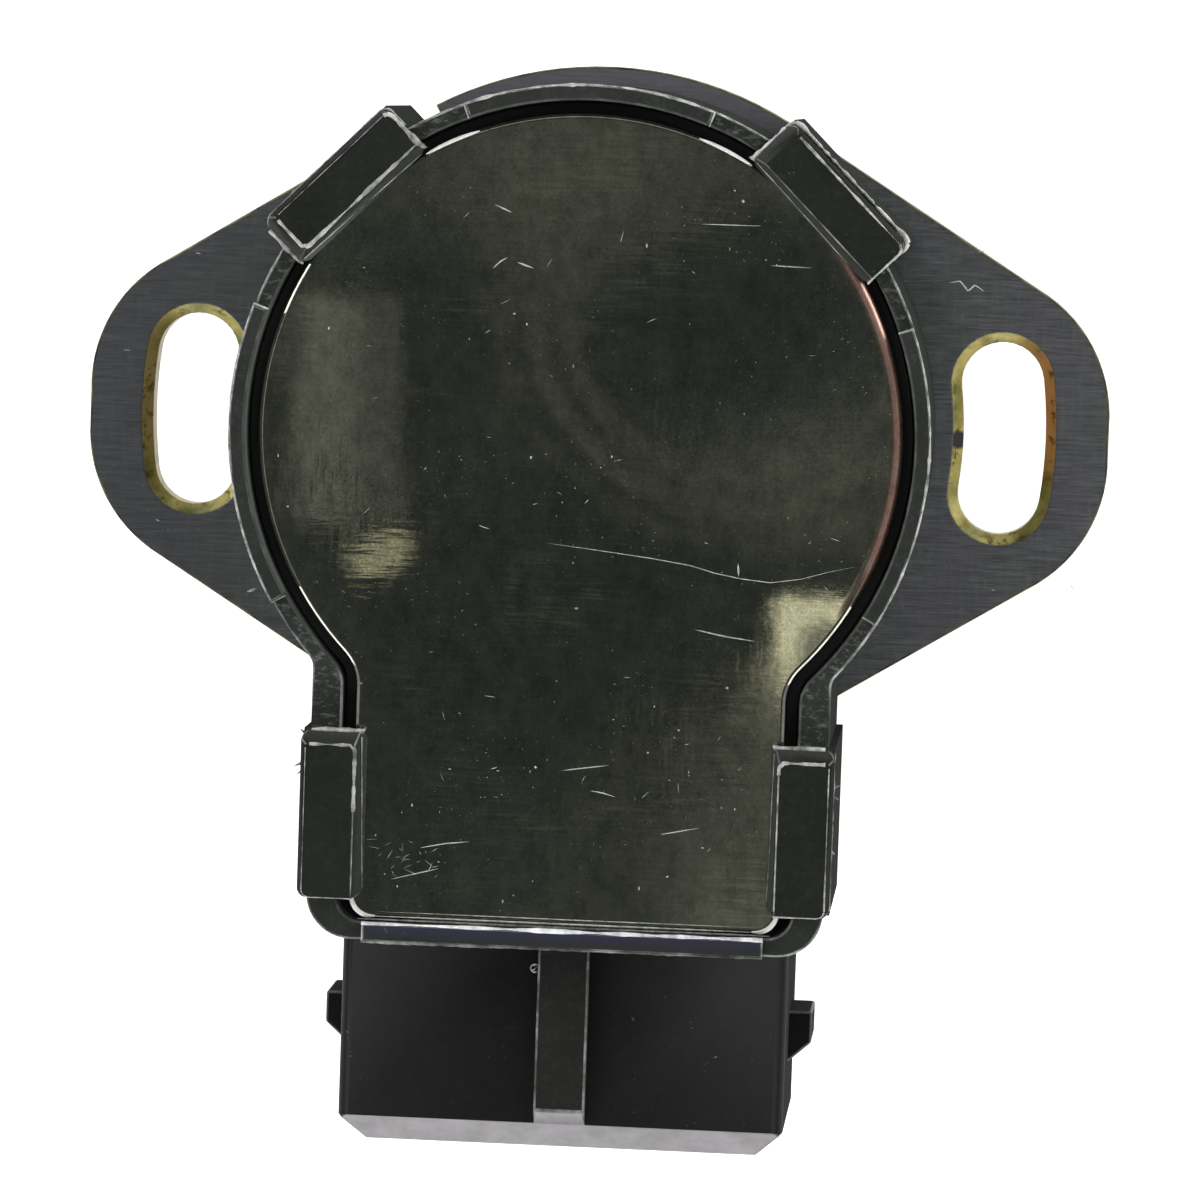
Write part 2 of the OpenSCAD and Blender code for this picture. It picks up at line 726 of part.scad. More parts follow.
// Ceramic card on its step under the cover
module resistor_card() {
    color("#d9d4c4") translate([0, 0, card_z]) linear_extrude(card_t) difference() {
        keyhole(seat_r - card_gap, seat_half_w - card_gap, chamber_end - card_gap, cover_corner_r);
        circle(pivot_r + pivot_clear);
    }
}

// A printed track: an arc under the wiper and straight leads down to the contact clips
module track(r, leads) {
    pad_low = -blade_end - clip_t;
    pad_high = pad_low + clip_pad;
    half_turn = rotor_turn / 2 + lug_angle;
    color("#3a3a36") translate([0, 0, track_z]) linear_extrude(track_t) {
        intersection() {
            band(r + track_w / 2, r - track_w / 2);
            sector(90 - half_turn, 90 + half_turn, ring_r);
        }
        for (side = leads) {
            foot = side * blade_pitch;
            top = r * [side * sin(half_turn), cos(half_turn)];
            across = track_w / 2;
            polygon([[foot - across, pad_high], [foot - across, pad_low], [foot + across, pad_low],
                     [foot + across, pad_high], top + [across, 0], top - [across, 0]]);
        }
    }
}

module resistor_track() {
    track(track_r, [-1, 1]);
}

// The collector runs inside the resistor and comes down beside the pivot to the middle clip
module collector_track() {
    half_turn = rotor_turn / 2 + lug_angle;
    pad_low = -blade_end - clip_t;
    across = track_w / 2;
    bend = pivot_r + pivot_clear + track_w;
    top = collector_r * [sin(half_turn), cos(half_turn)];
    color("#4a4a44") translate([0, 0, track_z]) linear_extrude(track_t) {
        intersection() {
            band(collector_r + across, collector_r - across);
            sector(90 - half_turn, 90 + half_turn, ring_r);
        }
        polygon([[bend - across, -bend], [-across, -bend - track_w], [-across, pad_low],
                 [across, pad_low], [across, -bend - track_w], [bend + across, -bend],
                 top + [across, 0], top - [across, 0]]);
    }
}

module terminal(i) {
    color("#b9b6a6") at_blade(i) blade_shape(0);
}

// A bent strip from the blade's inner end up to the card's printed pad
module contact_clip(i) {
    foot = -blade_end - clip_foot;
    riser = -blade_end;
    pad = riser + clip_pad;
    color("#b98a4e") at_blade(i) along_x(clip_w)
        polygon([[foot, blade_top], [riser, blade_top], [riser, track_z - clip_t],
                 [pad, track_z - clip_t], [pad, track_z], [riser - clip_t, track_z],
                 [riser - clip_t, blade_top + clip_t], [foot, blade_top + clip_t]]);
}

// Rotor: stem with the drive slot, hub, disc with the stop lug, pivot and the post for the spring
module rotor() {
    color("#8d8f86") difference() {
        union() {
            translate([0, 0, stem_z]) cylinder(r = stem_r, h = disc_z - stem_z);
            translate([0, 0, hub_z]) cylinder(r = hub_r, h = disc_z - hub_z);
            translate([0, 0, disc_z]) cylinder(r = disc_r, h = disc_t);
            translate([0, 0, disc_z]) cylinder(r = pivot_r, h = card_top - disc_z);
            translate([0, 0, disc_z]) rotate(lug_rest) linear_extrude(disc_t) intersection() {
                band(lug_r, hub_r);
                sector(-lug_angle / 2, lug_angle / 2, ring_r);
            }
            rotate(leg_high_dir)
                translate([coil_r + leg_len - post_r, -(wire_r + post_r), coil_high - wire_r])
                cylinder(r = post_r, h = disc_z - coil_high + 2 * wire_r);
        }
        translate([-drive_w / 2, -drive_len / 2, stem_z - cut]) cube([drive_w, drive_len, drive_depth + cut]);
    }
}

// Twin-finger wiper on the rotor's disc: the long finger runs on the resistor, the short one on the collector
module wiper() {
    tip_z = track_z - wiper_gap;
    base = pivot_r + wiper_foot;
    rise_at = collector_r - wiper_rise;
    color("#c79a55") rotate(lug_rest) for (finger = [[track_r, 0], [collector_r, 1]]) {
        tip = finger[0];
        translate([0, finger[1] * (clip_w + clip_t) - clip_w / 2, 0]) along_y(clip_w)
            polygon([[base, disc_top], [rise_at, disc_top], [tip, tip_z - clip_t],
                     [tip + clip_t, tip_z - clip_t], [tip + clip_t, tip_z], [tip - clip_t, tip_z],
                     [rise_at - clip_t, disc_top + clip_t], [base, disc_top + clip_t]]);
    }
    color("#c79a55") rotate(lug_rest) translate([base, -clip_w, disc_top])
        cube([rise_at - base, 2 * clip_w + clip_t, clip_t]);
}

// Spring leaf that takes up play between the throttle shaft's blade and the drive slot
module drive_clip() {
    wall = -drive_w / 2;
    low = stem_z + grip_t;
    high = stem_z + drive_depth - grip_t;
    middle = (low + high) / 2;
    color("#9aa0a3") along_y(grip_w)
        polygon([[wall, low], [wall + grip_bow, middle], [wall, high], [wall + grip_t, high],
                 [wall + grip_bow + grip_t, middle], [wall + grip_t, low]]);
}

// Path of the spring's wire: lower leg, coils and upper leg
function spring_path() = let (
    total = coil_steps * coil_turns,
    turned = 360 * coil_turns,
    low = [cos(leg_low_dir), sin(leg_low_dir)],
    high = [cos(leg_high_dir), sin(leg_high_dir)]) concat(
    [[for (k = [0, 1]) (coil_r + leg_len) * low[k], coil_low]],
    [for (i = [0:total]) let (a = leg_low_dir + turned * i / total)
        [coil_r * cos(a), coil_r * sin(a), coil_low + (coil_high - coil_low) * i / total]],
    [[for (k = [0, 1]) (coil_r + leg_len) * high[k], coil_high]]);

function unit(v) = v / norm(v);

// Sweeps a round wire along a path that never stands upright
module wire(path, r, sides) {
    last = len(path) - 1;
    tangents = [for (i = [0:last]) unit(path[min(i + 1, last)] - path[max(i - 1, 0)])];
    points = [for (i = [0:last]) let (n = unit(cross(tangents[i], [0, 0, 1])), b = cross(n, tangents[i]))
        for (k = [0:sides - 1]) path[i] + r * (cos(360 * k / sides) * n + sin(360 * k / sides) * b)];
    start = [for (k = [0:sides - 1]) k];
    end = [for (k = [sides - 1:-1:0]) last * sides + k];
    walls = [for (i = [0:last - 1]) for (k = [0:sides - 1])
        let (a = i * sides, b = a + sides, next = (k + 1) % sides) [a + k, b + k, b + next, a + next]];
    polyhedron(points = points, faces = concat([start], [end], walls));
}

module return_spring() {
    color("#a7abad") wire(spring_path(), wire_r, wire_sides);
}

module rotor_bushing() {
    color("#b58a4c") difference() {
        union() {
            translate([0, 0, bush_z]) cylinder(r = bush_r, h = flange_z - bush_z);
            translate([0, 0, floor_z]) cylinder(r = flange_r, h = bush_flange_t);
        }
        translate([0, 0, bush_z - cut]) cylinder(r = bore_r, h = flange_z - bush_z + 2 * cut);
    }
}

module thrust_washer() {
    color("#d8d8d2") translate([0, 0, flange_z]) linear_extrude(washer_t) band(flange_r - stem_clear, bore_r);
}

// Shaft seal: a ring with a tapered lip towards the throttle body
module shaft_seal() {
    color("#202022") translate([0, 0, lip_seal_z]) rotate_extrude()
        polygon([[bore_r, 0], [bore_r + lip_seal_flat, 0], [bore_r + lip_seal_w / 2, lip_seal_h / 2],
                 [lip_seal_r - lip_seal_flat, 0], [lip_seal_r, 0], [lip_seal_r, lip_seal_h],
                 [bore_r, lip_seal_h]]);
}

housing();
mounting_plate();
cover_plate();
cover_seal();
resistor_card();
resistor_track();
collector_track();
terminal(0);  // terminal_1
terminal(1);  // terminal_2
terminal(2);  // terminal_3
contact_clip(0);  // contact_clip_1
contact_clip(1);  // contact_clip_2
contact_clip(2);  // contact_clip_3
rotor();
wiper();
drive_clip();
return_spring();
rotor_bushing();
thrust_washer();
shaft_seal();
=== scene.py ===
"""Looks of the throttle position sensor: dressed pieces, finishes, stage, light and camera.

Sizes are millimetres, turned to metres where a mesh is made. A finish's noise has cells a metre.
"""
import math

import bmesh
import bpy
import numpy as np
from mathutils import Matrix, Vector


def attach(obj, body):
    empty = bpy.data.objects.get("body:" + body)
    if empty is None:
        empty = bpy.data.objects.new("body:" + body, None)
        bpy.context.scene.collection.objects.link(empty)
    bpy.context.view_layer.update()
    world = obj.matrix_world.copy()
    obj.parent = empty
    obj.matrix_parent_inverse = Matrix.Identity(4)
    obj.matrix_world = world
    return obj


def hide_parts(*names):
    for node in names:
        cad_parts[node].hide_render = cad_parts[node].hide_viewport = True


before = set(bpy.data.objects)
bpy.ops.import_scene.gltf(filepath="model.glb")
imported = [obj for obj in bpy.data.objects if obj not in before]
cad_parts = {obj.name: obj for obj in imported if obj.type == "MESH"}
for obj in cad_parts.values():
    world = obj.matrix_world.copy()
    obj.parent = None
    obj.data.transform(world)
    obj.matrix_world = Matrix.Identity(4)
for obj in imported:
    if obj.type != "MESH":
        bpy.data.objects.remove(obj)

MM = 0.001
X, Y, Z = range(3)
UP = np.array([0, 0, 1.0])
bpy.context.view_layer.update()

# Heights
SEAT_Z = -3.0
PLATE_TOP = 2.0
COVER_LOW = 14.2
COVER_TOP = 15.2
RIM_TOP = 16.0
TAB_TOP = 16.8
CONNECTOR_TOP = 12.9

# Plan sizes
RING_R = 18.6
NECK_HALF = 13.8
NECK_END = 27.3
COVER_R = 17.1
COVER_HALF = 11.5
COVER_END = 26.15
COVER_CORNER = 1.3
COVER_HOLLOW = 2.5
COVER_CLEAR_HALF = 10.4
SLOT_PATH = 22.4
SLOT_HALF = 2.85
SLOT_TURN = 7.8
TAB_HALF = 4.45
TAB_SLOPE = 0.7
RING_PAD_OUT = 1.15
NECK_PAD_OUT = 0.35
NECK_TAB_Y = 20.5
MOUTH_Y = -38.6
MOUTH_DEPTH = 1.8
BAR_HALF = 10.7
BAR_INNER_Y = 1.0 - NECK_END
RIM_WIDTH = 0.85

# Small marks: their depth in the face, the height of a scratch, and the step along a bead
MARK_SUNK = 0.004
SCRATCH_RISE = 0.018
BEAD_STEP = 0.14

# Angles in degrees between which the ring's rim is raised: at the top, on the right and on the left
RAISED_TOP = (69.2, 110.8)
RAISED_RIGHT = (-30.3, 20.2)
RAISED_LEFT = (159.8, 210.3)


# ---- meshes ----

def tone(red, green, blue):
    """Linear colour of a screen colour given from 0 to 255: each channel to the power 2.2."""
    return tuple((c / 255) ** 2.2 for c in (red, green, blue)) + (1.0,)


def place(name, points, faces, smooth=True, closed=True):
    """Makes one object at the origin from points in millimetres and faces as index lists.

    A closed piece has its faces turned outwards.
    """
    mesh = bpy.data.meshes.new(name)
    mesh.from_pydata((np.asarray(points, float) * MM).tolist(), [], faces)
    if closed:
        form = bmesh.new()
        form.from_mesh(mesh)
        bmesh.ops.recalc_face_normals(form, faces=form.faces)
        form.to_mesh(mesh)
        form.free()
    mesh.update()
    mesh.polygons.foreach_set("use_smooth", [smooth] * len(mesh.polygons))
    piece = bpy.data.objects.new(name, mesh)
    bpy.context.scene.collection.objects.link(piece)
    return piece


def strip_faces(rows, columns, closed):
    """Four-sided faces between neighbouring rows of a grid; closed joins the last column to the first."""
    spans = columns if closed else columns - 1
    row, column = np.meshgrid(np.arange(rows - 1), np.arange(spans), indexing="ij")
    start = row * columns + column
    across = row * columns + (column + 1) % columns
    return np.stack([start, across, across + columns, start + columns], -1).reshape(-1, 4).tolist()


def keyhole_line(radius, half, end, corner, hollow, steps=(6, 8, 10, 8, 120)):
    """Closed outline of a disc joined to a neck, anticlockwise from the middle of the end wall.

    It runs along half of the end wall, a quarter circle at the corner, the straight side, a hollow
    curve that touches the side and the disc, and the disc's big arc, and back the same way.
    """
    middle = np.array([half + hollow, -math.sqrt((radius + hollow) ** 2 - (half + hollow) ** 2)])
    turn = math.atan2(middle[1], middle[0])
    flat, bend, side, inside, arc = (np.linspace(0, 1, n, endpoint=False) for n in steps)
    quarter = -math.pi / 2 + bend * math.pi / 2
    back = math.pi - inside * -turn
    right = np.vstack([
        np.c_[flat * (half - corner), np.full_like(flat, -end)],
        np.c_[half - corner + corner * np.cos(quarter), corner - end + corner * np.sin(quarter)],
        np.c_[np.full_like(side, half), corner - end + side * (middle[1] - corner + end)],
        middle + hollow * np.c_[np.cos(back), np.sin(back)],
    ])
    sweep = turn + arc * (math.pi - 2 * turn)
    left = right[:0:-1] * [-1, 1]
    last = radius * np.array([[-math.cos(turn), math.sin(turn)]])
    return np.vstack([right, radius * np.c_[np.cos(sweep), np.sin(sweep)], last, left])


def even_steps(points, step):
    """Points on the same line, one every step millimetres, by length along it."""
    points = np.asarray(points, float)
    gone = np.r_[0, np.cumsum(np.linalg.norm(np.diff(points, axis=0), axis=1))]
    places = np.linspace(0, gone[-1], max(int(gone[-1] / step), 3))
    return np.stack([np.interp(places, gone, points[:, k]) for k in range(points.shape[1])], 1)


def arc_line(radius, start, end, z):
    """Points on a level arc around the rotor's axis, from one angle in degrees to another."""
    turn = np.radians(np.linspace(start, end, 160))
    return np.c_[radius * np.cos(turn), radius * np.sin(turn), np.full_like(turn, z)]


def uneven(count, spacing, rng):
    """Random values from 0 to 1, one for every few points, joined by straight lines."""
    knots = rng.random(count // spacing + 3)
    return np.interp(np.arange(count) / spacing, np.arange(len(knots)), knots)


def bead(path, side, lift, width, height):
    """Three-sided bead along a path: two feet half a width to each side, and a crest lifted above it."""
    foot = side * np.reshape(width, (-1, 1)) / 2
    crest = lift * np.reshape(height, (-1, 1))
    points = np.stack([path - foot, path + crest, path + foot], 1).reshape(-1, 3)
    faces = strip_faces(len(path), 3, True)
    last = 3 * len(path)
    return points, faces + [[2, 1, 0], [last - 3, last - 2, last - 1]]


def joined(name, shapes, smooth=True):
    """One object from several closed shapes, each given as points and faces."""
    starts = np.cumsum([0] + [len(points) for points, _ in shapes[:-1]])
    faces = [[int(i + start) for i in face] for start, (_, faces) in zip(starts, shapes) for face in faces]
    return place(name, np.vstack([points for points, _ in shapes]), faces, smooth)


def flash_bead(line, centre, width, height, rng, rough=1.0, rise=0.05, lean=45, sunk=0.07):
    """Ragged flash on an outer edge: a bead on the edge that leans away from a centre by an angle in degrees.

    Its feet are sunk below the edge, and its width and height swing with slow and quick random values, so
    that it breaks here and there, less where it rises higher.
    """
    path = even_steps(line, BEAD_STEP)
    out = path - np.append(np.asarray(centre, float), 0)
    along = np.gradient(path, axis=0)
    along /= np.linalg.norm(along, axis=1)[:, None]
    out[:, 2] = 0
    out -= along * (out * along).sum(1)[:, None]
    out /= np.linalg.norm(out, axis=1)[:, None]
    tilt = math.radians(lean)
    lift = out * math.sin(tilt) + UP * math.cos(tilt)
    slow, quick = uneven(len(path), 11, rng), uneven(len(path), 2, rng)
    swell = np.clip(0.35 + slow + rough * (quick - 0.5) * 0.9, 0.12, 1.7)
    side = out * math.cos(tilt) - UP * math.sin(tilt)
    return bead(path - sunk * lift, side, lift, width * swell, rise + height * swell)


def scratch_bead(line, z, width):
    """Shallow bead on a level face that fades to nothing at both ends, as sin over its length."""
    path = even_steps(np.c_[np.asarray(line, float), np.full(len(line), z - MARK_SUNK)], 0.15)
    along = np.gradient(path, axis=0)
    along /= np.linalg.norm(along, axis=1)[:, None]
    side = np.c_[-along[:, 1], along[:, 0], np.zeros(len(path))]
    fade = np.sin(np.linspace(0.05, math.pi - 0.05, len(path))) ** 0.5
    return bead(path, side, UP, width * fade, SCRATCH_RISE * fade)


def flakes(name, spots, sizes, z, rng):
    """Tiny specks on a level face: five uneven corners around each spot and a raised middle."""
    count, corners = len(spots), 5
    turn = rng.random((count, 1)) * 7 + np.arange(corners) * 2 * math.pi / corners
    reach = sizes[:, None] * (0.6 + 0.7 * rng.random((count, corners)))
    stretch = 0.6 + 0.9 * rng.random((count, 1))
    x = spots[:, :1] + reach * np.cos(turn) * stretch
    y = spots[:, 1:] + reach * np.sin(turn) / stretch
    ring = np.stack([x, y, np.full_like(x, z - MARK_SUNK)], -1)
    top = np.c_[spots, z + 0.15 * sizes][:, None]
    points = np.concatenate([ring, top], 1).reshape(-1, 3)
    start = np.arange(count)[:, None] * (corners + 1)
    index = np.arange(corners)
    sides = np.stack([start + index, start + (index + 1) % corners,
                      np.broadcast_to(start + corners, (count, corners))], -1).reshape(-1, 3)
    return place(name, points, sides.tolist() + (start + index[::-1]).tolist(), False)


def lathe_between(name, loops, heights):
    """Closed piece from outlines stacked at given heights, the first and the last one filled."""
    count = len(loops[0])
    points = np.vstack([np.c_[loop, np.full(count, z)] for loop, z in zip(loops, heights)])
    rows = len(loops)
    faces = strip_faces(rows, count, True)
    faces.append(list(range(count - 1, -1, -1)))
    faces.append(list(range((rows - 1) * count, rows * count)))
    return place(name, points, faces)


def edge_turn(edge):
    """Angle between the two faces of an edge that bulges outwards, or 0 where it doesn't."""
    if len(edge.link_faces) != 2 or not edge.is_convex:
        return 0.0
    return edge.calc_face_angle(0.0)


def round_edges(form, width, sharpest, above, allowed):
    """Rounds the outer edges of a solid that turn by more than an angle in degrees, lie above a height and
    pass a test of their middle.

    Edges under a form and edges beside a strip that is rounded already stay as they are.
    """
    edges = []
    for edge in form.edges:
        if edge_turn(edge) < math.radians(sharpest) or min(v.co.z for v in edge.verts) < above * MM:
            continue
        if any(face.material_index or face.normal.z < -0.2 for face in edge.link_faces):
            continue
        if allowed((edge.verts[0].co + edge.verts[1].co) / (2 * MM)):
            edges.append(edge)
    bmesh.ops.bevel(form, geom=edges, offset=width * MM, segments=2, profile=0.5, affect="EDGES",
                    clamp_overlap=False, material=1, miter_outer="ARC", offset_type="OFFSET")


def even_shading(piece, sharpest):
    """Keeps edges above an angle in degrees sharp and evens the shading between them by the faces' areas."""
    piece.data.set_sharp_from_angle(angle=math.radians(sharpest))
    even = piece.modifiers.new("even_normals", "WEIGHTED_NORMAL")
    even.keep_sharp = True


def dressed_copy(node, name, above, *rounds):
    """A copy of a CAD solid with its triangles joined and its outer edges rounded.

    Each round is a width, an angle and a test of an edge's middle. The rounded strips take the second
    material.
    """
    same_place, same_plane = 1e-6, math.radians(0.4)
    form = bmesh.new()
    form.from_mesh(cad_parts[node].data)
    bmesh.ops.remove_doubles(form, verts=form.verts, dist=same_place)
    bmesh.ops.dissolve_limit(form, angle_limit=same_plane, verts=form.verts, edges=form.edges)
    for width, sharpest, allowed in rounds:
        round_edges(form, width, sharpest, above, allowed)
    mesh = bpy.data.meshes.new(name)
    form.to_mesh(mesh)
    form.free()
    mesh.polygons.foreach_set("use_smooth", [True] * len(mesh.polygons))
    piece = bpy.data.objects.new(name, mesh)
    bpy.context.scene.collection.objects.link(piece)
    even_shading(piece, 32)
    return piece


# ---- finishes ----

class Finish:
    """One material and short ways to add its nodes."""

    def __init__(self, name, **values):
        self.material = bpy.data.materials.new(name)
        self.material.use_nodes = True
        self.tree = self.material.node_tree
        self.shader = self.tree.nodes["Principled BSDF"]
        for socket, value in values.items():
            self.shader.inputs[socket].default_value = value
        self.place = self.node("ShaderNodeTexCoord").outputs["Object"]

    def node(self, kind, inputs=None, **settings):
        made = self.tree.nodes.new(kind)
        for key, value in settings.items():
            setattr(made, key, value)
        for key, value in (inputs or {}).items():
            self.give(made.inputs[key], value)
        return made

    def give(self, socket, value):
        if isinstance(value, bpy.types.NodeSocket):
            self.tree.links.new(value, socket)
        else:
            socket.default_value = value

    def stretched(self, x, y, z, turn=0.0):
        """The piece's own coordinates, scaled a different amount along each axis after a turn about Z."""
        return self.node("ShaderNodeMapping", {"Vector": self.place, "Scale": (x, y, z),
                                               "Rotation": (0, 0, math.radians(turn))},
                         vector_type="POINT").outputs[0]

    def noise(self, scale, detail=4.0, rough=0.55, vector=None, distort=0.0):
        """Cloudy value from 0 to 1; scale is in cells a metre."""
        return self.node("ShaderNodeTexNoise", {"Vector": vector or self.place, "Scale": scale, "Detail": detail,
                                                "Roughness": rough, "Distortion": distort}).outputs[0]

    def span(self, value, low, high, start=0.0, end=1.0):
        """Stretches a value so that low becomes start and high becomes end, and holds it there outside."""
        return self.node("ShaderNodeMapRange", {0: value, 1: low, 2: high, 3: start, 4: end},
                         clamp=True).outputs[0]

    def fade(self, place, low, high, start=0.0, end=1.0):
        """The same for a place or a distance on the piece, with low and high in millimetres."""
        return self.span(place, low * MM, high * MM, start, end)

    def between(self, place, out_low, low, high, out_high):
        """Share 1 from low to high that goes down to 0 at the outer values, all in millimetres."""
        return self.both(self.fade(place, out_low, low), self.fade(place, out_high, high))

    def sum(self, operation, a, b=0.0):
        return self.node("ShaderNodeMath", {0: a, 1: b}, operation=operation).outputs[0]

    def mix(self, share, first, second):
        """Colour that goes from first to second as share goes from 0 to 1."""
        made = self.node("ShaderNodeMix", data_type="RGBA")
        for index, value in ((0, share), (6, first), (7, second)):
            self.give(made.inputs[index], value)
        return made.outputs[2]

    def facing(self, axis):
        """Part of the flat face's direction along one axis, from -1 to 1."""
        normal = self.node("ShaderNodeNewGeometry").outputs["True Normal"]
        return self.node("ShaderNodeSeparateXYZ", {0: normal}).outputs[axis]

    def along(self, axis):
        """Position along one axis, in metres."""
        return self.node("ShaderNodeSeparateXYZ", {0: self.place}).outputs[axis]

    def away(self, x, y):
        """Level distance in metres from a spot given in millimetres."""
        level = self.node("ShaderNodeVectorMath", {0: self.place, 1: (1, 1, 0)}, operation="MULTIPLY").outputs[0]
        return self.node("ShaderNodeVectorMath", {0: level, 1: (x * MM, y * MM, 0)},
                         operation="DISTANCE").outputs["Value"]

    def both(self, *shares):
        """Product of several shares."""
        result = shares[0]
        for share in shares[1:]:
            result = self.sum("MULTIPLY", result, share)
        return result

    def colour(self, value):
        self.give(self.shader.inputs["Base Color"], value)

    def rough(self, value):
        self.give(self.shader.inputs["Roughness"], value)

    def bump(self, height, depth, normal=None):
        """Small relief; depth is in millimetres from the height value 0 to 1."""
        inputs = {"Height": height, "Distance": depth * MM, "Strength": 1.0}
        if normal:
            inputs["Normal"] = normal
        made = self.node("ShaderNodeBump", inputs).outputs[0]
        self.give(self.shader.inputs["Normal"], made)
        return made


def black_moulding():
    """Satin black moulded plastic: fine grain, faint flow clouds, scuffs on the low rim, a grey mouth.

    The tabs and the connector's top are the darkest. The walls hardly shine and are painted lighter than the level
    faces, as painted light; those inside the rim and the left one get more of it for the shade they lie in, and the
    ledge at the neck's end is painted nearly white in its deep shadow. The grey mouth is a painted sheen. The end
    bar is violet along its inner half.
    """
    f = Finish("black_moulding")
    x, y, z, gone = f.along(X), f.along(Y), f.along(Z), f.away(0, 0)
    side, level = f.sum("ABSOLUTE", x), f.sum("ABSOLUTE", f.facing(Z))

    clouds = f.noise(260, 5)
    fine = f.noise(2600, 4, 0.7)
    base = f.mix(f.span(clouds, 0.3, 0.7), tone(29, 32, 29), tone(40, 43, 39))
    base = f.mix(f.span(fine, 0.5, 0.78, 0, 0.5), base, tone(68, 71, 66))

    lower = f.fade(z, 13.6, 12.8)
    base = f.mix(f.sum("MULTIPLY", lower, 0.75), base, tone(12, 13, 12))
    rim = f.both(f.fade(gone, 17.0, 17.4), f.between(z, 14.9, 15.1, 16.1, 16.3))
    base = f.mix(f.sum("MULTIPLY", rim, 0.14), base, tone(70, 73, 69))
    tabs = f.fade(z, 16.3, 16.5, 0, 0.55)
    base = f.mix(tabs, base, tone(16, 20, 17))
    connector = f.fade(y, -27.4, -27.6, 0, 0.5)
    base = f.mix(connector, base, tone(14, 16, 14))

    scuffs = f.span(f.noise(1700, 5, 0.75, f.stretched(1.0, 2.2, 1.0, 35)), 0.52, 0.7)
    low_rim = f.both(f.between(z, 14.9, 15.1, 15.3, 15.5), f.fade(gone, 17.2, 17.6), f.fade(y, -24.5, -23.5))
    base = f.mix(f.both(low_rim, scuffs), base, tone(104, 107, 102))

    bar = f.both(f.fade(y, -26.2, -26.4), f.fade(z, 15.8, 15.9))
    bar_tone = f.mix(f.fade(y, -26.5, -27.0), tone(47, 45, 68), tone(42, 43, 43))
    base = f.mix(f.sum("MULTIPLY", bar, 0.75), base, bar_tone)

    grit = f.both(f.span(f.noise(3600, 3, 0.8), 0.66, 0.74), f.span(f.noise(210, 2), 0.5, 0.62))
    base = f.mix(f.sum("MULTIPLY", grit, 0.6), base, tone(116, 119, 113))

    # Painted light: the walls inside the rim and beside the neck, down in the gap's shade, are painted lighter.
    neck = f.both(f.fade(side, 12.16, 12.12), f.between(y, -26.3, -26.26, -11.2, -11.0))
    inside = f.both(f.sum("MAXIMUM", neck, f.fade(gone, 17.76, 17.72)), f.between(z, 13.4, 13.6, 15.14, 15.18))
    base = f.mix(inside, base, tone(92, 96, 90))
    # Painted light: the walls are painted lighter than the level faces.
    base = f.mix(f.span(level, 0.5, 0.2, 0, 0.7), base, tone(58, 61, 57))
    # Painted light: the left wall inside the rim is painted lighter still, where it lies in shade.
    left_wall_light = f.both(f.fade(x, -10, -14), f.fade(gone, 17.9, 17.8), f.fade(y, -12, -11),
                       f.between(z, 13.6, 13.8, 16.0, 16.1), f.span(level, 0.5, 0.2))
    base = f.mix(left_wall_light, base, tone(88, 92, 87))
    # Painted light: the ledge at the neck's end is painted nearly white, where it lies in deep shadow.
    ledge = f.both(f.between(y, -26.5, -26.4, -25.0, -24.6), f.between(z, 13.5, 13.7, 14.4, 14.6),
                   f.fade(side, 12.8, 12.6))
    base = f.mix(ledge, base, tone(186, 188, 198))

    # Painted sheen: the mouth's chamfer is painted grey where it catches the light.
    mouth = f.both(f.fade(y, -36.0, -36.2), f.span(f.facing(Z), 0.3, 0.6), f.span(f.facing(Y), -0.2, -0.5))
    grey = f.mix(f.span(f.noise(500, 5, 0.7), 0.35, 0.7), tone(121, 119, 121), tone(142, 140, 142))
    f.colour(f.mix(mouth, base, grey))
    f.rough(f.span(clouds, 0.25, 0.75, 0.5, 0.62))
    shine = f.both(f.span(level, 0.15, 0.6, 0.0, 0.25), f.span(lower, 0, 1, 1, 0.6))
    f.give(f.shader.inputs["Specular IOR Level"], shine)
    f.bump(f.sum("ADD", f.sum("MULTIPLY", clouds, 0.5), fine), 0.012)
    return f.material


def rubbed_and_highlighted_moulding():
    """The same plastic on its edges, where it is worn and shows a lighter broken line that is partly a painted
    highlight.
    """
    f = Finish("rubbed_and_highlighted_moulding", **{"Specular IOR Level": 0.3})
    broken = f.noise(500, 6, 0.72)
    # Partly painted highlight: the lighter broken line stands for light caught on the edges as well as wear.
    base = f.mix(f.span(broken, 0.36, 0.5), tone(50, 53, 50), tone(88, 91, 87))
    base = f.mix(f.span(broken, 0.5, 0.68), base, tone(150, 152, 149))
    base = f.mix(f.fade(f.along(Z), 13.6, 13.0, 0, 0.7), base, tone(46, 48, 46))
    inner = f.both(f.fade(f.away(0, 0), 18.0, 17.9), f.fade(f.along(Z), 16.3, 16.1))
    f.colour(f.mix(f.sum("MULTIPLY", inner, 0.75), base, tone(52, 55, 52)))
    f.rough(f.span(broken, 0.3, 0.7, 0.45, 0.65))
    f.bump(f.noise(3000, 3), 0.02)
    return f.material


def torn_flash(name, low, high):
    """Thin torn flash: plastic drawn out until it turns pale, between two tones."""
    f = Finish(name, **{"Specular IOR Level": 0.4})
    torn = f.noise(900, 5, 0.7)
    f.colour(f.mix(f.span(torn, 0.36, 0.62), low, high))
    f.rough(f.span(torn, 0.3, 0.7, 0.4, 0.65))
    f.bump(torn, 0.02)
    return f.material


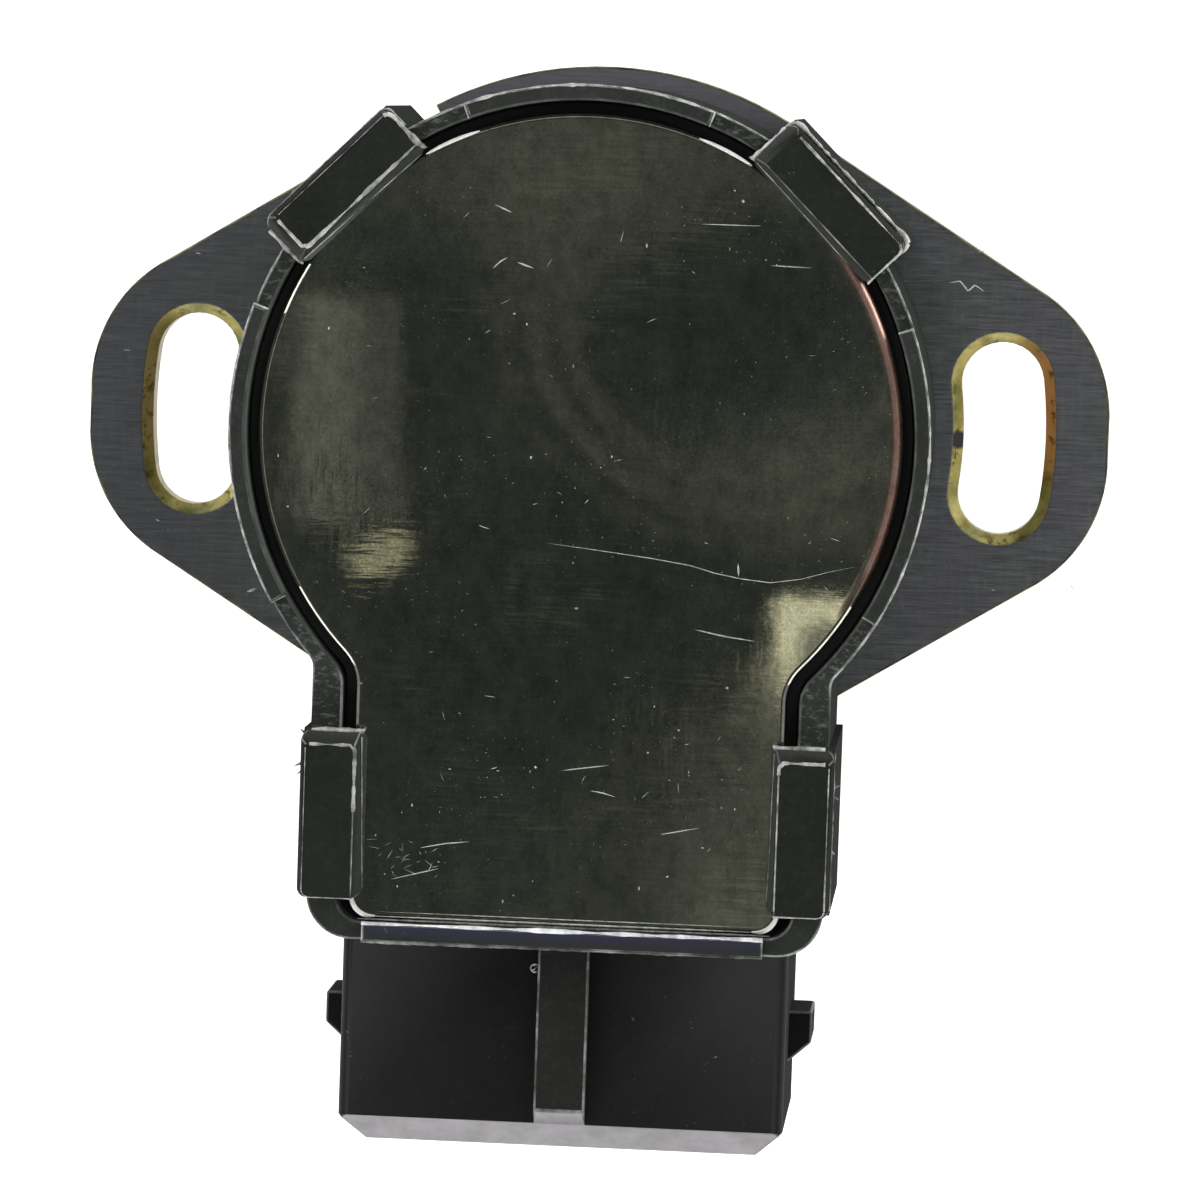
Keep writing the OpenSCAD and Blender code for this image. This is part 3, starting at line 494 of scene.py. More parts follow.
def dark_brushed_steel():
    """Dark passivated steel, finely brushed along X, with plum and olive clouds."""
    f = Finish("dark_brushed_steel", Metallic=0.4, **{"Specular IOR Level": 0.35})
    lines = f.noise(1, 5, 0.75, f.stretched(420, 7500, 1500))
    across = f.noise(1, 4, 0.7, f.stretched(3000, 600, 600))
    wide = f.noise(1, 3, 0.6, f.stretched(110, 1800, 300))
    clouds = f.noise(130, 4)
    base = f.mix(f.span(lines, 0.32, 0.7), tone(66, 68, 70), tone(114, 115, 116))
    base = f.mix(f.span(across, 0.5, 0.8, 0, 0.5), base, tone(118, 119, 119))
    base = f.mix(f.span(wide, 0.45, 0.75, 0, 0.45), base, tone(56, 58, 60))
    base = f.mix(f.span(clouds, 0.52, 0.75, 0, 0.35), base, tone(98, 93, 106))
    base = f.mix(f.span(clouds, 0.48, 0.25, 0, 0.4), base, tone(76, 79, 70))
    base = f.mix(f.fade(f.along(Y), 13, 19, 0, 0.5), base, tone(124, 119, 128))
    # Painted shade: the left ear is painted darker and bluer.
    base = f.mix(f.fade(f.along(X), -14, -24, 0, 0.45), base, tone(58, 61, 65))
    nicks = f.both(f.span(f.noise(2600, 3, 0.8), 0.68, 0.76), f.span(f.noise(160, 2), 0.5, 0.6))
    f.colour(f.mix(nicks, base, tone(150, 152, 154)))
    f.rough(f.span(wide, 0.3, 0.7, 0.42, 0.58))
    f.bump(lines, 0.008)
    return f.material


def chromate_wall():
    """Yellow chromate on the walls and bevels of the screw slots, olive to orange, with one dark nick."""
    f = Finish("chromate_wall", Metallic=0.3, **{"Specular IOR Level": 0.4})
    clouds = f.noise(420, 4, 0.6)
    base = f.mix(f.span(clouds, 0.36, 0.64), tone(86, 88, 36), tone(170, 158, 92))
    warm = f.fade(f.away(26.5, 2), 5.2, 2.8)
    base = f.mix(f.sum("MULTIPLY", warm, 0.8), base, tone(212, 144, 84))
    base = f.mix(f.fade(f.away(-26.5, 1), 5.2, 3.0, 0, 0.7), base, tone(150, 128, 84))
    base = f.mix(f.span(f.noise(1500, 4, 0.7), 0.54, 0.66), base, tone(78, 74, 26))
    nick = f.fade(f.away(19.9, -0.15), 0.6, 0.4)
    f.colour(f.mix(nick, base, tone(40, 40, 40)))
    f.rough(f.span(clouds, 0.2, 0.8, 0.25, 0.45))
    f.bump(f.noise(1800, 3), 0.02)
    return f.material


def olive_edge():
    """The flange's outer edge, where dark olive chromate shows at the corner."""
    f = Finish("olive_edge", Metallic=0.45, **{"Specular IOR Level": 0.4})
    clouds = f.noise(500, 4, 0.65)
    f.colour(f.mix(f.span(clouds, 0.38, 0.66), tone(48, 50, 40), tone(118, 116, 82)))
    f.rough(f.span(clouds, 0.2, 0.8, 0.3, 0.5))
    f.bump(f.noise(1800, 3), 0.015)
    return f.material


def mirror_cover():
    """Dark polished steel: a mirror with faint lines along X, milky smears, light and dark blots, fine grain,
    grit, a dull copper tint at the right rim and a slight ripple at the lower left."""
    f = Finish("mirror_cover", Metallic=1.0)
    clouds = f.noise(110, 5, 0.6)
    base = f.mix(f.span(clouds, 0.32, 0.68), tone(150, 153, 146), tone(178, 176, 162))
    hair = f.noise(1, 6, 0.8, f.stretched(260, 5200, 200))
    upright = f.noise(1, 5, 0.75, f.stretched(3800, 330, 200))
    smear = f.both(f.span(f.noise(90, 4, 0.6, distort=1.5), 0.5, 0.66), f.span(hair, 0.42, 0.66))
    smear = f.sum("MAXIMUM", smear, f.both(f.span(f.noise(75, 3), 0.5, 0.64), f.span(upright, 0.46, 0.68)))
    top = f.both(f.fade(f.away(1, 14), 10.5, 4), f.span(hair, 0.42, 0.6))
    smear = f.sum("MAXIMUM", smear, f.sum("MULTIPLY", top, 0.8))
    low_right = f.both(f.fade(f.away(11, -20), 9.5, 2), f.span(hair, 0.35, 0.6))
    smear = f.sum("MAXIMUM", smear, low_right)
    base = f.mix(f.sum("MULTIPLY", smear, 0.5), base, tone(200, 198, 186))
    copper = f.both(f.fade(f.away(0, 0), 16.4, 16.7), f.fade(f.away(19, 2), 12.5, 9))
    base = f.mix(copper, base, tone(212, 164, 148))
    blots = f.noise(1, 6, 0.78, f.stretched(820, 560, 200))
    base = f.mix(f.span(blots, 0.5, 0.7, 0, 0.5), base, tone(212, 212, 196))
    base = f.mix(f.span(blots, 0.5, 0.32, 0, 0.55), base, tone(108, 115, 107))
    base = f.mix(f.span(upright, 0.5, 0.34, 0, 0.15), base, tone(108, 115, 107))
    base = f.mix(f.span(hair, 0.52, 0.68, 0, 0.25), base, tone(212, 211, 198))
    grain = f.noise(6500, 2, 0.7)
    patches = f.span(f.noise(170, 4, 0.7), 0.4, 0.62, 0.3, 1)
    base = f.mix(f.both(f.span(grain, 0.55, 0.72, 0, 0.4), patches), base, tone(230, 229, 218))
    base = f.mix(f.both(f.span(grain, 0.45, 0.28, 0, 0.5), patches), base, tone(84, 90, 84))
    grit = f.both(f.span(f.noise(4300, 2, 0.8), 0.66, 0.74), f.span(f.noise(230, 3), 0.42, 0.6))
    base = f.mix(f.sum("MULTIPLY", grit, 0.8), base, tone(226, 224, 216))
    f.colour(base)
    dull = f.sum("MAXIMUM", f.sum("MULTIPLY", copper, 0.42), f.sum("MULTIPLY", grit, 0.45))
    f.rough(f.sum("MAXIMUM", f.span(smear, 0, 1, 0.02, 0.2), dull))
    ripple = f.both(f.noise(1, 3, 0.6, f.stretched(170, 1100, 200)), f.fade(f.away(-11, -6), 6, 2, 0, 0.7))
    f.bump(f.sum("ADD", f.sum("ADD", f.sum("MULTIPLY", hair, 0.05), clouds), ripple), 0.003)
    return f.material


def pale_mark_and_highlight(name, low, high):
    """Pale mark broken up finely: for scratches and dust, and also for painted highlights."""
    f = Finish(name, **{"Specular IOR Level": 0.5})
    f.colour(f.mix(f.span(f.noise(2200, 4, 0.7), 0.35, 0.65), low, high))
    f.rough(0.5)
    f.bump(f.noise(4000, 3), 0.01)
    return f.material


def plain_finish(name, low, high, rough, metallic=0.0, scale=400, relief=0.01, grain=None):
    """A finish for inner pieces: two tones in small clouds, or along a grain, with a fine relief."""
    f = Finish(name, Metallic=metallic)
    vector = f.stretched(*grain) if grain else None
    value = f.noise(1 if grain else scale, 4, 0.6, vector)
    f.colour(f.mix(f.span(value, 0.35, 0.65), low, high))
    f.rough(f.span(value, 0.3, 0.7, rough - 0.06, rough + 0.08))
    f.bump(value, relief)
    return f.material


def wear(piece, *materials):
    """Gives a piece its materials in order."""
    for material in materials:
        piece.data.materials.append(material)


def keep_node(node, material):
    """Gives a CAD node its finish through the object's own material slot."""
    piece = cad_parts[node]
    if not piece.material_slots:
        piece.data.materials.append(None)
    for slot in piece.material_slots:
        slot.link = "OBJECT"
        slot.material = material


# ---- the sensor's pieces ----

moulding = black_moulding()
rubbed_and_highlighted = rubbed_and_highlighted_moulding()
flash = torn_flash("pale_flash", tone(92, 95, 91), tone(200, 200, 196))
bright_flash = torn_flash("bright_flash", tone(176, 176, 180), tone(250, 250, 252))


def on_tab(spot):
    """True for a place above the cover on one of the four tabs or its pad, given in millimetres."""
    x, y, z = abs(spot.x), spot.y, spot.z
    on_ring = y > 0 and abs(x - y) < 1.45 * TAB_HALF and x + y > 1.42 * (COVER_R - 1)
    on_neck = abs(y + NECK_TAB_Y) < TAB_HALF + 0.05 and x > COVER_HALF - 1
    return z > COVER_TOP - 0.1 and (on_ring or on_neck)


def fine_edge(spot):
    """True on the tabs above their pads, and at the connector's mouth, where the forms are narrow."""
    return on_tab(spot) and spot.z > COVER_TOP + 0.1 or spot.y < MOUTH_Y + MOUTH_DEPTH


def wide_edge(spot):
    """True on the other edges of the moulding."""
    return not on_tab(spot) and spot.y > MOUTH_Y + MOUTH_DEPTH


def press_down(mesh, low, share):
    """Presses all that lies above a height down to a share of its rise, as formed tabs sink between their edges."""
    spots = np.zeros(3 * len(mesh.vertices))
    mesh.vertices.foreach_get("co", spots)
    rise = np.maximum(spots[2::3] - low * MM, 0)
    spots[2::3] -= rise * (1 - share)
    mesh.vertices.foreach_set("co", spots)
    mesh.update()


fine_round, wide_round = (0.06, 50, fine_edge), (0.13, 35, wide_edge)
housing = dressed_copy("housing", "moulded_housing", PLATE_TOP + 0.5, fine_round, wide_round)
press_down(housing.data, TAB_TOP - 0.25, 0.6)
wear(housing, moulding, rubbed_and_highlighted)
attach(housing, "sensor")
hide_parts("housing")


def near_slot(points):
    """True where a place lies on a screw slot or its bevel: by distance from the slot's arc or its ends."""
    flat = np.c_[np.abs(points[:, 0]), points[:, 1]] / MM
    radius = np.hypot(*flat.T)
    turn = np.degrees(np.arctan2(flat[:, 1], flat[:, 0]))
    held = np.radians(np.clip(turn, -SLOT_TURN, SLOT_TURN))
    nearest = SLOT_PATH * np.c_[np.cos(held), np.sin(held)]
    return (np.linalg.norm(flat - nearest, axis=1) < SLOT_HALF) & (radius > SLOT_PATH - 4)


flange = dressed_copy("mounting_plate", "steel_flange", PLATE_TOP - 0.1, (0.12, 35, lambda spot: True))
centres = np.zeros(3 * len(flange.data.polygons))
normals = np.zeros_like(centres)
flange.data.polygons.foreach_get("center", centres)
flange.data.polygons.foreach_get("normal", normals)
in_slot = near_slot(centres.reshape(-1, 3))
walls = np.abs(normals.reshape(-1, 3)[:, Z]) < 0.97
FACE, SLOT_WALL, OUTER_EDGE = range(3)
finish_of_face = np.where(walls, np.where(in_slot, SLOT_WALL, OUTER_EDGE), FACE)
flange.data.polygons.foreach_set("material_index", finish_of_face)
wear(flange, dark_brushed_steel(), chromate_wall(), olive_edge())
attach(flange, "sensor")
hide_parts("mounting_plate")


def rolled_cover():
    """Keyhole plate whose outline steps in along a quarter circle at its upper edge, height rising as it does."""
    roll, under = 0.32, 0.12
    turn = np.linspace(0, math.pi / 2, 6)
    insets = [under, 0.0] + list(roll * (1 - np.cos(turn)))
    heights = [COVER_LOW, COVER_LOW + under] + list(COVER_TOP - roll + roll * np.sin(turn))
    loops = [keyhole_line(COVER_R - d, COVER_HALF - d, COVER_END - d, COVER_CORNER - d, COVER_HOLLOW + d)
             for d in insets]
    return lathe_between("polished_cover", loops, heights)


cover = rolled_cover()
wear(cover, mirror_cover())
even_shading(cover, 40)
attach(cover, "sensor")
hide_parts("cover_plate")


def ringed(points, turn):
    """The same points turned about the rotor's axis by an angle in degrees."""
    angle = math.radians(turn)
    c, s = math.cos(angle), math.sin(angle)
    return np.asarray(points, float) @ np.array([[c, s, 0], [-s, c, 0], [0, 0, 1.0]])


def bar_flash():
    """Nearly white flash along the inner edge of the end bar, and a thinner lighter line on its outer edge that is
    partly worn and partly a painted highlight.
    """
    rng = np.random.default_rng(16)
    inner, outer = ([(-BAR_HALF, y, RIM_TOP), (BAR_HALF, y, RIM_TOP)] for y in (BAR_INNER_Y, -NECK_END))
    bar = joined("bar_flash", [flash_bead(inner, (0, -60), 0.22, 0.03, rng, 0.2, 0.04, 10, 0.01),
                               flash_bead(outer, (0, 0), 0.15, 0.05, rng, 0.9, 0.04, 25, 0.01)])
    wear(bar, bright_flash, rubbed_and_highlighted)
    half = len(bar.data.polygons) // 2
    bar.data.polygons.foreach_set("material_index", np.repeat((0, 1), (half, len(bar.data.polygons) - half)))
    return bar


def rim_flash():
    """Ragged flash on the outer edge of the raised rim, the low rim beside it and the end bar's ends."""
    rng = np.random.default_rng(11)
    shapes = []
    for raised, width, height in ((RAISED_TOP, 0.2, 0.07), (RAISED_RIGHT, 0.17, 0.05), (RAISED_LEFT, 0.13, 0.03)):
        shapes.append(flash_bead(arc_line(RING_R, *raised, RIM_TOP), (0, 0), width, height, rng))
    for start, end, width in ((57.5, 69, 0.17), (20.4, 31, 0.16), (111, 122, 0.12), (149, 159.6, 0.12),
                              (-42, -30.5, 0.12)):
        shapes.append(flash_bead(arc_line(RING_R, start, end, COVER_TOP), (0, 0), width, 0.04, rng))
    for turn, beside in ((RAISED_TOP[0], -20), (RAISED_TOP[1], 20), (RAISED_RIGHT[1], -20), (RAISED_LEFT[0], -20),
                         (RAISED_RIGHT[0], 20), (RAISED_LEFT[1], 20)):
        across = ringed([(RING_R, 0, RIM_TOP), (RING_R - RIM_WIDTH, 0, RIM_TOP)], turn)
        centre = ringed([(17, beside, 0)], turn)[0][:2]
        shapes.append(flash_bead(across, centre, 0.12, 0.03, rng, 0.5))
    for side in (-1, 1):
        end = [(side * BAR_HALF, -NECK_END, RIM_TOP), (side * BAR_HALF, BAR_INNER_Y, RIM_TOP)]
        shapes.append(flash_bead(end, (0, -26.8), 0.13, 0.03, rng, 0.5))
    return joined("rim_flash", shapes)


def ledge_flash():
    """Torn flash on the outer edges of the pads that carry the tabs."""
    rng = np.random.default_rng(12)
    pad, half, inner = RING_R + RING_PAD_OUT, TAB_HALF, RING_R - 0.3
    lower = [(inner, -half), (pad - 0.4, -half), (pad - 0.12, 0.12 - half), (pad, 0.4 - half)]
    line = np.array([(x, y, COVER_TOP) for x, y in lower + [(x, -y) for x, y in lower[::-1]]])
    shapes = []
    for turn, width, height in ((45, 0.34, 0.09), (135, 0.15, 0.05)):
        centre = ringed([(16, 0, 0)], turn)[0][:2]
        shapes.append(flash_bead(ringed(line, turn), centre, width, height, rng, 0.8, 0.07, 25, 0.03))
    for side, width, height in ((-1, 0.2, 0.1), (1, 0.16, 0.07)):
        wall = side * (NECK_HALF + NECK_PAD_OUT)
        line = [(wall, -16.3, COVER_TOP - 0.4), (wall, -24.7, COVER_TOP)]
        shapes.append(flash_bead(line, (0, -20), width, height, rng, 1.5))
    return joined("ledge_flash", shapes)


def edge_burrs():
    """Small torn slivers: each a bead that starts in the wall and stands out to a point."""
    rng = np.random.default_rng(13)
    shapes = []
    for x, y, z, dx, dy in ((-14.1, -18.0, 14.6, -0.62, -0.2), (-14.1, -18.35, 14.4, -0.5, -0.35),
                            (-14.0, -16.4, 14.9, -0.4, 0.25), (14.1, -18.15, 14.4, 0.4, 0.12),
                            (14.1, -18.7, 14.2, 0.36, -0.2), (14.1, -21.6, 14.6, 0.22, -0.12),
                            (-14.1, -21.0, 14.2, -0.3, 0.1), (-14.1, -22.3, 14.6, -0.2, 0.1)):
        line = np.array([(x, y, z), (x + dx * 0.5, y + dy * 0.3, z + 0.1), (x + dx, y + dy, z + 0.05)])
        path = even_steps(line, 0.05)
        fade = np.linspace(1, 0.1, len(path))
        side = np.array([0, 1.0, 0])
        shapes.append(bead(path, side, UP, (0.22 + 0.1 * rng.random()) * fade, 0.16 * fade))
    return joined("edge_burrs", shapes, False)


def tab_line(turn, side, spots, width, height, rng):
    """Bead along an edge of a tab: spots in the tab's own plan, turned for the ring, or mirrored for the neck."""
    spots = np.asarray(spots, float)
    if turn is None:
        spots = spots * [side, 1, 1] + [0, -NECK_TAB_Y, 0]
        centre = (side * (NECK_HALF - 1.5), -NECK_TAB_Y)
    else:
        spots = ringed(spots, turn)
        centre = ringed([(17.8, 0, 0)], turn)[0][:2]
    return flash_bead(spots, centre, width, height, rng, 0.6, 0.03, 8, 0.01)


def tab_edges():
    """Swollen edges of the formed tabs, as broken beads around their tops and along their first ends."""
    rng = np.random.default_rng(14)
    z, low, end = TAB_TOP - 0.1, TAB_TOP - 0.7, TAB_HALF
    shapes = []
    for turn, side, inner, outer, start, thin, first, outside in (
            (45, 1, 16.55, 19.6, None, 0, 0.13, 0.14), (135, 1, 16.55, 19.6, 0.3 - end, 0, 0.27, 0.05),
            (None, 1, 10.75, 14.15, 3.1, 0.07, 0.09, 0.08), (None, -1, 10.75, 14.15, 0.2, 0.05, 0.08, 0.05)):
        top, near, far = end - TAB_SLOPE, inner + 0.5, outer - 0.25
        if start is not None:
            shapes.append(tab_line(turn, side, [(near, start, z), (near, top - 0.25, z), (near + 0.25, top, z),
                                                (far - 0.2, top, z)], 0.2, 0.03, rng))
        if thin:
            shapes.append(tab_line(turn, side, [(near, 0.3 - end, z), (near, start, z)], thin, 0.02, rng))
        around = [(near - 0.05, -end, z), (far - 0.35, -end, z), (far - 0.08, 0.12 - end, z), (far, 0.35 - end, z)]
        if turn:
            around.insert(0, (inner + 0.12, -end, COVER_TOP + 0.3))
        shapes.append(tab_line(turn, side, around, first, 0.03, rng))
        shapes.append(tab_line(turn, side, [(far, top - 0.2, z), (far, 0.4 - end, z)], outside, 0.03, rng))
        shapes.append(tab_line(turn, side, [(inner + 0.1, end, COVER_TOP + 0.3), (inner + 0.35, end, low),
                                            (outer - 0.5, end, low)], 0.28, 0.05, rng))
        shapes.append(tab_line(turn, side, [(inner + 0.22, end - 0.3, low),
                                            (inner + 0.06, 0.4 - end, COVER_TOP + 0.1)], 0.08, 0.02, rng))
    return joined("tab_edges", shapes)


def mould_marks():
    """A small crater with a torn lip beside the connector's rib, and a few nicks on the connector's top."""
    rng = np.random.default_rng(15)
    shapes = []
    turn = np.radians(np.linspace(20, 300, 30))
    z = CONNECTOR_TOP
    lip = np.c_[-1.58 + 0.26 * np.cos(turn), -28.75 + 0.24 * np.sin(turn), np.full_like(turn, z)]
    shapes.append(flash_bead(lip, (-1.58, -28.75), 0.13, 0.05, rng))
    shapes.append(flash_bead([(-1.75, -28.9, z), (-1.4, -28.6, z)], (-1.6, -29.4), 0.1, 0.03, rng))
    for x, y in ((6.9, -31.6), (5.2, -35.6), (3.2, -34.0), (-3.2, -36.4), (8.1, -33.2)):
        nick = [(x, y, z), (x + 0.25, y + rng.uniform(-0.1, 0.1), z)]
        shapes.append(flash_bead(nick, (x, y - 1), 0.08, 0.02, rng))
    return joined("mould_marks", shapes)


for piece, material in ((bar_flash(), None), (rim_flash(), flash), (ledge_flash(), flash), (tab_edges(), flash),
                        (mould_marks(), flash), (edge_burrs(), rubbed_and_highlighted)):
    if material:  # bar_flash already has its own two
        wear(piece, material)
    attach(piece, "sensor")


def cover_scratches_and_edge_light():
    """Fine scratches on the cover: one long shallow curve, a short one below it and many short strokes; and beside
    the end bar, two pale beads on the cover's edge as a painted highlight and one down in the gap as painted light in
    its shade."""
    rng = np.random.default_rng(21)
    lines = [
        ([(-1.6, -5.7), (1.3, -6.0), (4.0, -6.3), (6.1, -6.6), (7.4, -6.95), (8.8, -7.2), (10.4, -7.35), (12.0, -7.1),
          (13.5, -6.65), (15.0, -6.3)], 0.058),
        ([(6.5, -10.0), (8.1, -10.3), (9.7, -10.5)], 0.1),
        ([(8.64, -6.4), (8.7, -7.1)], 0.13),
        ([(6.0, 11.45), (9.3, 11.46)], 0.06), ([(9.8, 9.4), (12.0, 9.35)], 0.07),
        ([(-4.9, 12.1), (-4.4, 11.9), (-3.96, 11.7)], 0.1), ([(-3.6, 9.1), (-2.7, 8.8)], 0.11),
        ([(-4.9, 8.7), (-4.5, 9.1), (-4.1, 9.35)], 0.1),
        ([(-7.8, -22.25), (-6.4, -21.95), (-5.1, -21.8)], 0.08), ([(-0.4, -17.8), (2.2, -17.4)], 0.07),
        ([(1.2, -18.8), (1.9, -18.9), (2.6, -19.1)], 0.08), ([(5.0, -21.0), (7.1, -20.55)], 0.07),
        ([(-9.3, -24.0), (-6.7, -23.3)], 0.08),
    ]
    shapes = [scratch_bead(line, COVER_TOP, width) for line, width in lines]
    # Painted highlight and light: the first two beads paint the highlight along the cover's lower edge, the third
    # paints light into the shaded gap beside the end bar.
    for line, depth, width in (([(-10.3, -26.02), (0, -26.03), (10.3, -26.02)], 0.03, 0.16),
                               ([(-10.0, -25.76), (1, -25.78), (10.2, -25.76)], 0, 0.09),
                               ([(-11, -26.2), (0, -26.21), (11, -26.2)], 0.12, 0.22)):
        shapes.append(scratch_bead(line, COVER_TOP - depth, width))
    strokes, gathered = 72, 26
    for stroke in range(strokes):
        x, y = rng.uniform(-14, 14), rng.uniform(-24, 14)
        if stroke < gathered:
            x, y = -8.4 + rng.normal(0, 1.1), -22.9 + rng.normal(0, 0.6)
        if abs(x) > COVER_CLEAR_HALF and y < -9 or math.hypot(x, y) > 15.5 and y > -9:
            continue
        turn, length = rng.normal(0.1, 0.7), rng.uniform(0.15, 0.7)
        bow = rng.uniform(-0.1, 0.1)
        dx, dy = math.cos(turn) * length / 2, math.sin(turn) * length / 2
        line = [(x - dx, y - dy), (x - bow * dy, y + bow * dx), (x + dx, y + dy)]
        shapes.append(scratch_bead(line, COVER_TOP, rng.uniform(0.025, 0.05)))
    return joined("cover_scratches_and_edge_light", shapes)


def painted_corner_highlights():
    """Painted highlights on the cover's edge: crescents at both lower corners and beside the upper tabs."""
    shapes = []
    middle, reach = (COVER_HALF - COVER_CORNER, COVER_CORNER - COVER_END), COVER_CORNER - 0.15
    turn = np.radians(np.linspace(-97, 12, 30))
    for side in (-1, 1):
        arc = np.c_[side * (middle[0] + reach * np.cos(turn)), middle[1] + reach * np.sin(turn)]
        shapes.append(scratch_bead(arc, COVER_TOP - 0.02, 0.36))
    for start, end in ((110, 120.5), (59.5, 70)):
        shapes.append(scratch_bead(arc_line(COVER_R - 0.13, start, end, 0)[:, :2], COVER_TOP - 0.02, 0.22))
    return joined("painted_corner_highlights", shapes)


def cover_dust():
    """Specks on the cover, most of them in a few loose groups."""
    rng = np.random.default_rng(22)
    groups = np.array([(-7, 6), (4, 12), (8, 3.5), (0, -3), (-6, -18), (-8, -23), (5, -16), (10, 7), (-13, -3),
                       (8, -20)])
    gathered, scattered = 170, 150
    near = groups[rng.integers(0, len(groups), gathered)] + rng.normal(0, 1.7, (gathered, 2))
    wide = np.c_[rng.uniform(-15, 15, scattered), rng.uniform(-25, 15, scattered)]
    spots = np.vstack([near, wide])
    x, y = np.abs(spots[:, 0]), spots[:, 1]
    on_cover = np.where(y > -12, np.hypot(x, y) < COVER_R - 0.7, (x < COVER_CLEAR_HALF) & (y > -25.6))
    spots = spots[on_cover]
    sizes = 0.018 + 0.085 * rng.random(len(spots)) ** 5
    return flakes("cover_dust", spots, sizes, COVER_TOP, rng)


pale = pale_mark_and_highlight("pale_mark", tone(128, 130, 124), tone(205, 206, 200))
# White for the painted highlights on the cover's edge.
white = pale_mark_and_highlight("white_highlight_mark", tone(226, 226, 218), tone(252, 252, 248))
for piece, material in ((cover_scratches_and_edge_light(), pale), (cover_dust(), pale), (painted_corner_highlights(), white)):
    wear(piece, material)
    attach(piece, "sensor")


def flange_marks():
    """A zigzag scratch, short strokes on the flange and a chip of torn edge below the right slot."""
    rng = np.random.default_rng(23)
    zigzag = [(18.98, 8.43), (19.63, 8.56), (20.09, 8.03), (20.46, 8.37), (21.02, 8.01)]
    shapes = [scratch_bead(zigzag, PLATE_TOP, 0.12), scratch_bead([(-19.1, -10.05), (-18.5, -9.8)], PLATE_TOP, 0.2)]
    for x, y in ((20.5, 10.2), (26.3, -7.9), (19.4, -2.6), (-24.3, -6.2), (-26.4, 3.1), (-22.5, 8.6), (22.0, -8.3)):
        length = rng.uniform(0.2, 0.6)
        shapes.append(scratch_bead([(x, y), (x + length, y + rng.uniform(-0.2, 0.2))], PLATE_TOP, 0.08))
    return joined("flange_marks", shapes)


marks = flange_marks()
wear(marks, pale)
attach(marks, "sensor")

rubber = plain_finish("black_rubber", tone(26, 26, 27), tone(40, 40, 41), 0.7)
tin = plain_finish("tinned_blade", tone(176, 174, 160), tone(205, 203, 190), 0.3, 0.95, grain=(300, 3000, 900))
bronze = plain_finish("spring_bronze", tone(176, 130, 78), tone(206, 158, 98), 0.3, 0.95, 700)
ink = plain_finish("carbon_ink", tone(38, 38, 36), tone(58, 57, 52), 0.5)
for node, material in {
    "cover_seal": rubber, "shaft_seal": rubber,
    "resistor_card": plain_finish("fired_ceramic", tone(205, 200, 184), tone(222, 217, 203), 0.6),
    "resistor_track": ink, "collector_track": ink,
    "terminal_1": tin, "terminal_2": tin, "terminal_3": tin,
    "contact_clip_1": bronze, "contact_clip_2": bronze, "contact_clip_3": bronze, "wiper": bronze,
    "rotor": plain_finish("grey_rotor_moulding", tone(128, 131, 122), tone(146, 148, 139), 0.45, 0, 500, 0.02),
    "drive_clip": plain_finish("blued_strip", tone(140, 146, 150), tone(170, 174, 178), 0.3, 0.95, 800),
    "return_spring": plain_finish("drawn_wire", tone(150, 152, 154), tone(190, 192, 194), 0.3, 0.95, 900),
    "rotor_bushing": plain_finish("sintered_bronze", tone(160, 122, 70), tone(186, 146, 88), 0.42, 0.9, 1500, 0.03),
    "thrust_washer": plain_finish("white_washer", tone(208, 208, 202), tone(226, 226, 220), 0.5),
}.items():
    keep_node(node, material)


# ---- stage, light and camera ----

TILT = (0.0800, -0.0696, -0.0341)
OFFSET = (-0.0383, 9.8543)
DISTANCE = 345.04
turned = Matrix.Rotation(TILT[0], 3, "X") @ Matrix.Rotation(TILT[1], 3, "Y") @ Matrix.Rotation(TILT[2], 3, "Z")
eye = turned.transposed() @ Vector((-OFFSET[0], -OFFSET[1], DISTANCE))
CANOPY_Z = 700
FLOOR_REACH = 3000
LENS = 187.08
SENSOR = 36
LAMP_REACH = 600
LAMP_Z = 250
LAMP_POWER = 1.15
RING_WAVES = 1150


def mirrored(x, y, z=CANOPY_Z):
    """Place at a height that the camera sees mirrored at x, y on the cover: the line goes on past the cover
    by as much sideways for each millimetre of height as it came from the camera."""
    rise = (z - COVER_TOP) / (eye.z - COVER_TOP)
    return x + (x - eye.x) * rise, y + (y - eye.y) * rise


def card(name, corners, z, material, faces_down=True):
    """A flat card on the stage."""
    points = [(x, y, z) for x, y in corners]
    order = list(range(len(points)))
    piece = place(name, points, [order[::-1] if faces_down else order], False, False)
    wear(piece, material)
    return piece


def square(x0, x1, y0, y1):
    """Corners of a rectangle, anticlockwise."""
    return [(x0, y0), (x1, y0), (x1, y1), (x0, y1)]


def stage_paint(name, colour, glow, own=None):
    """Dull paint that glows in its colour; own is the colour that it shows under the lamps."""
    paint = Finish(name, Roughness=0.9, **{"Specular IOR Level": 0.0})
    paint.shader.inputs["Base Color"].default_value = own or colour
    paint.shader.inputs["Emission Color"].default_value = colour
    paint.shader.inputs["Emission Strength"].default_value = glow
    return paint.material


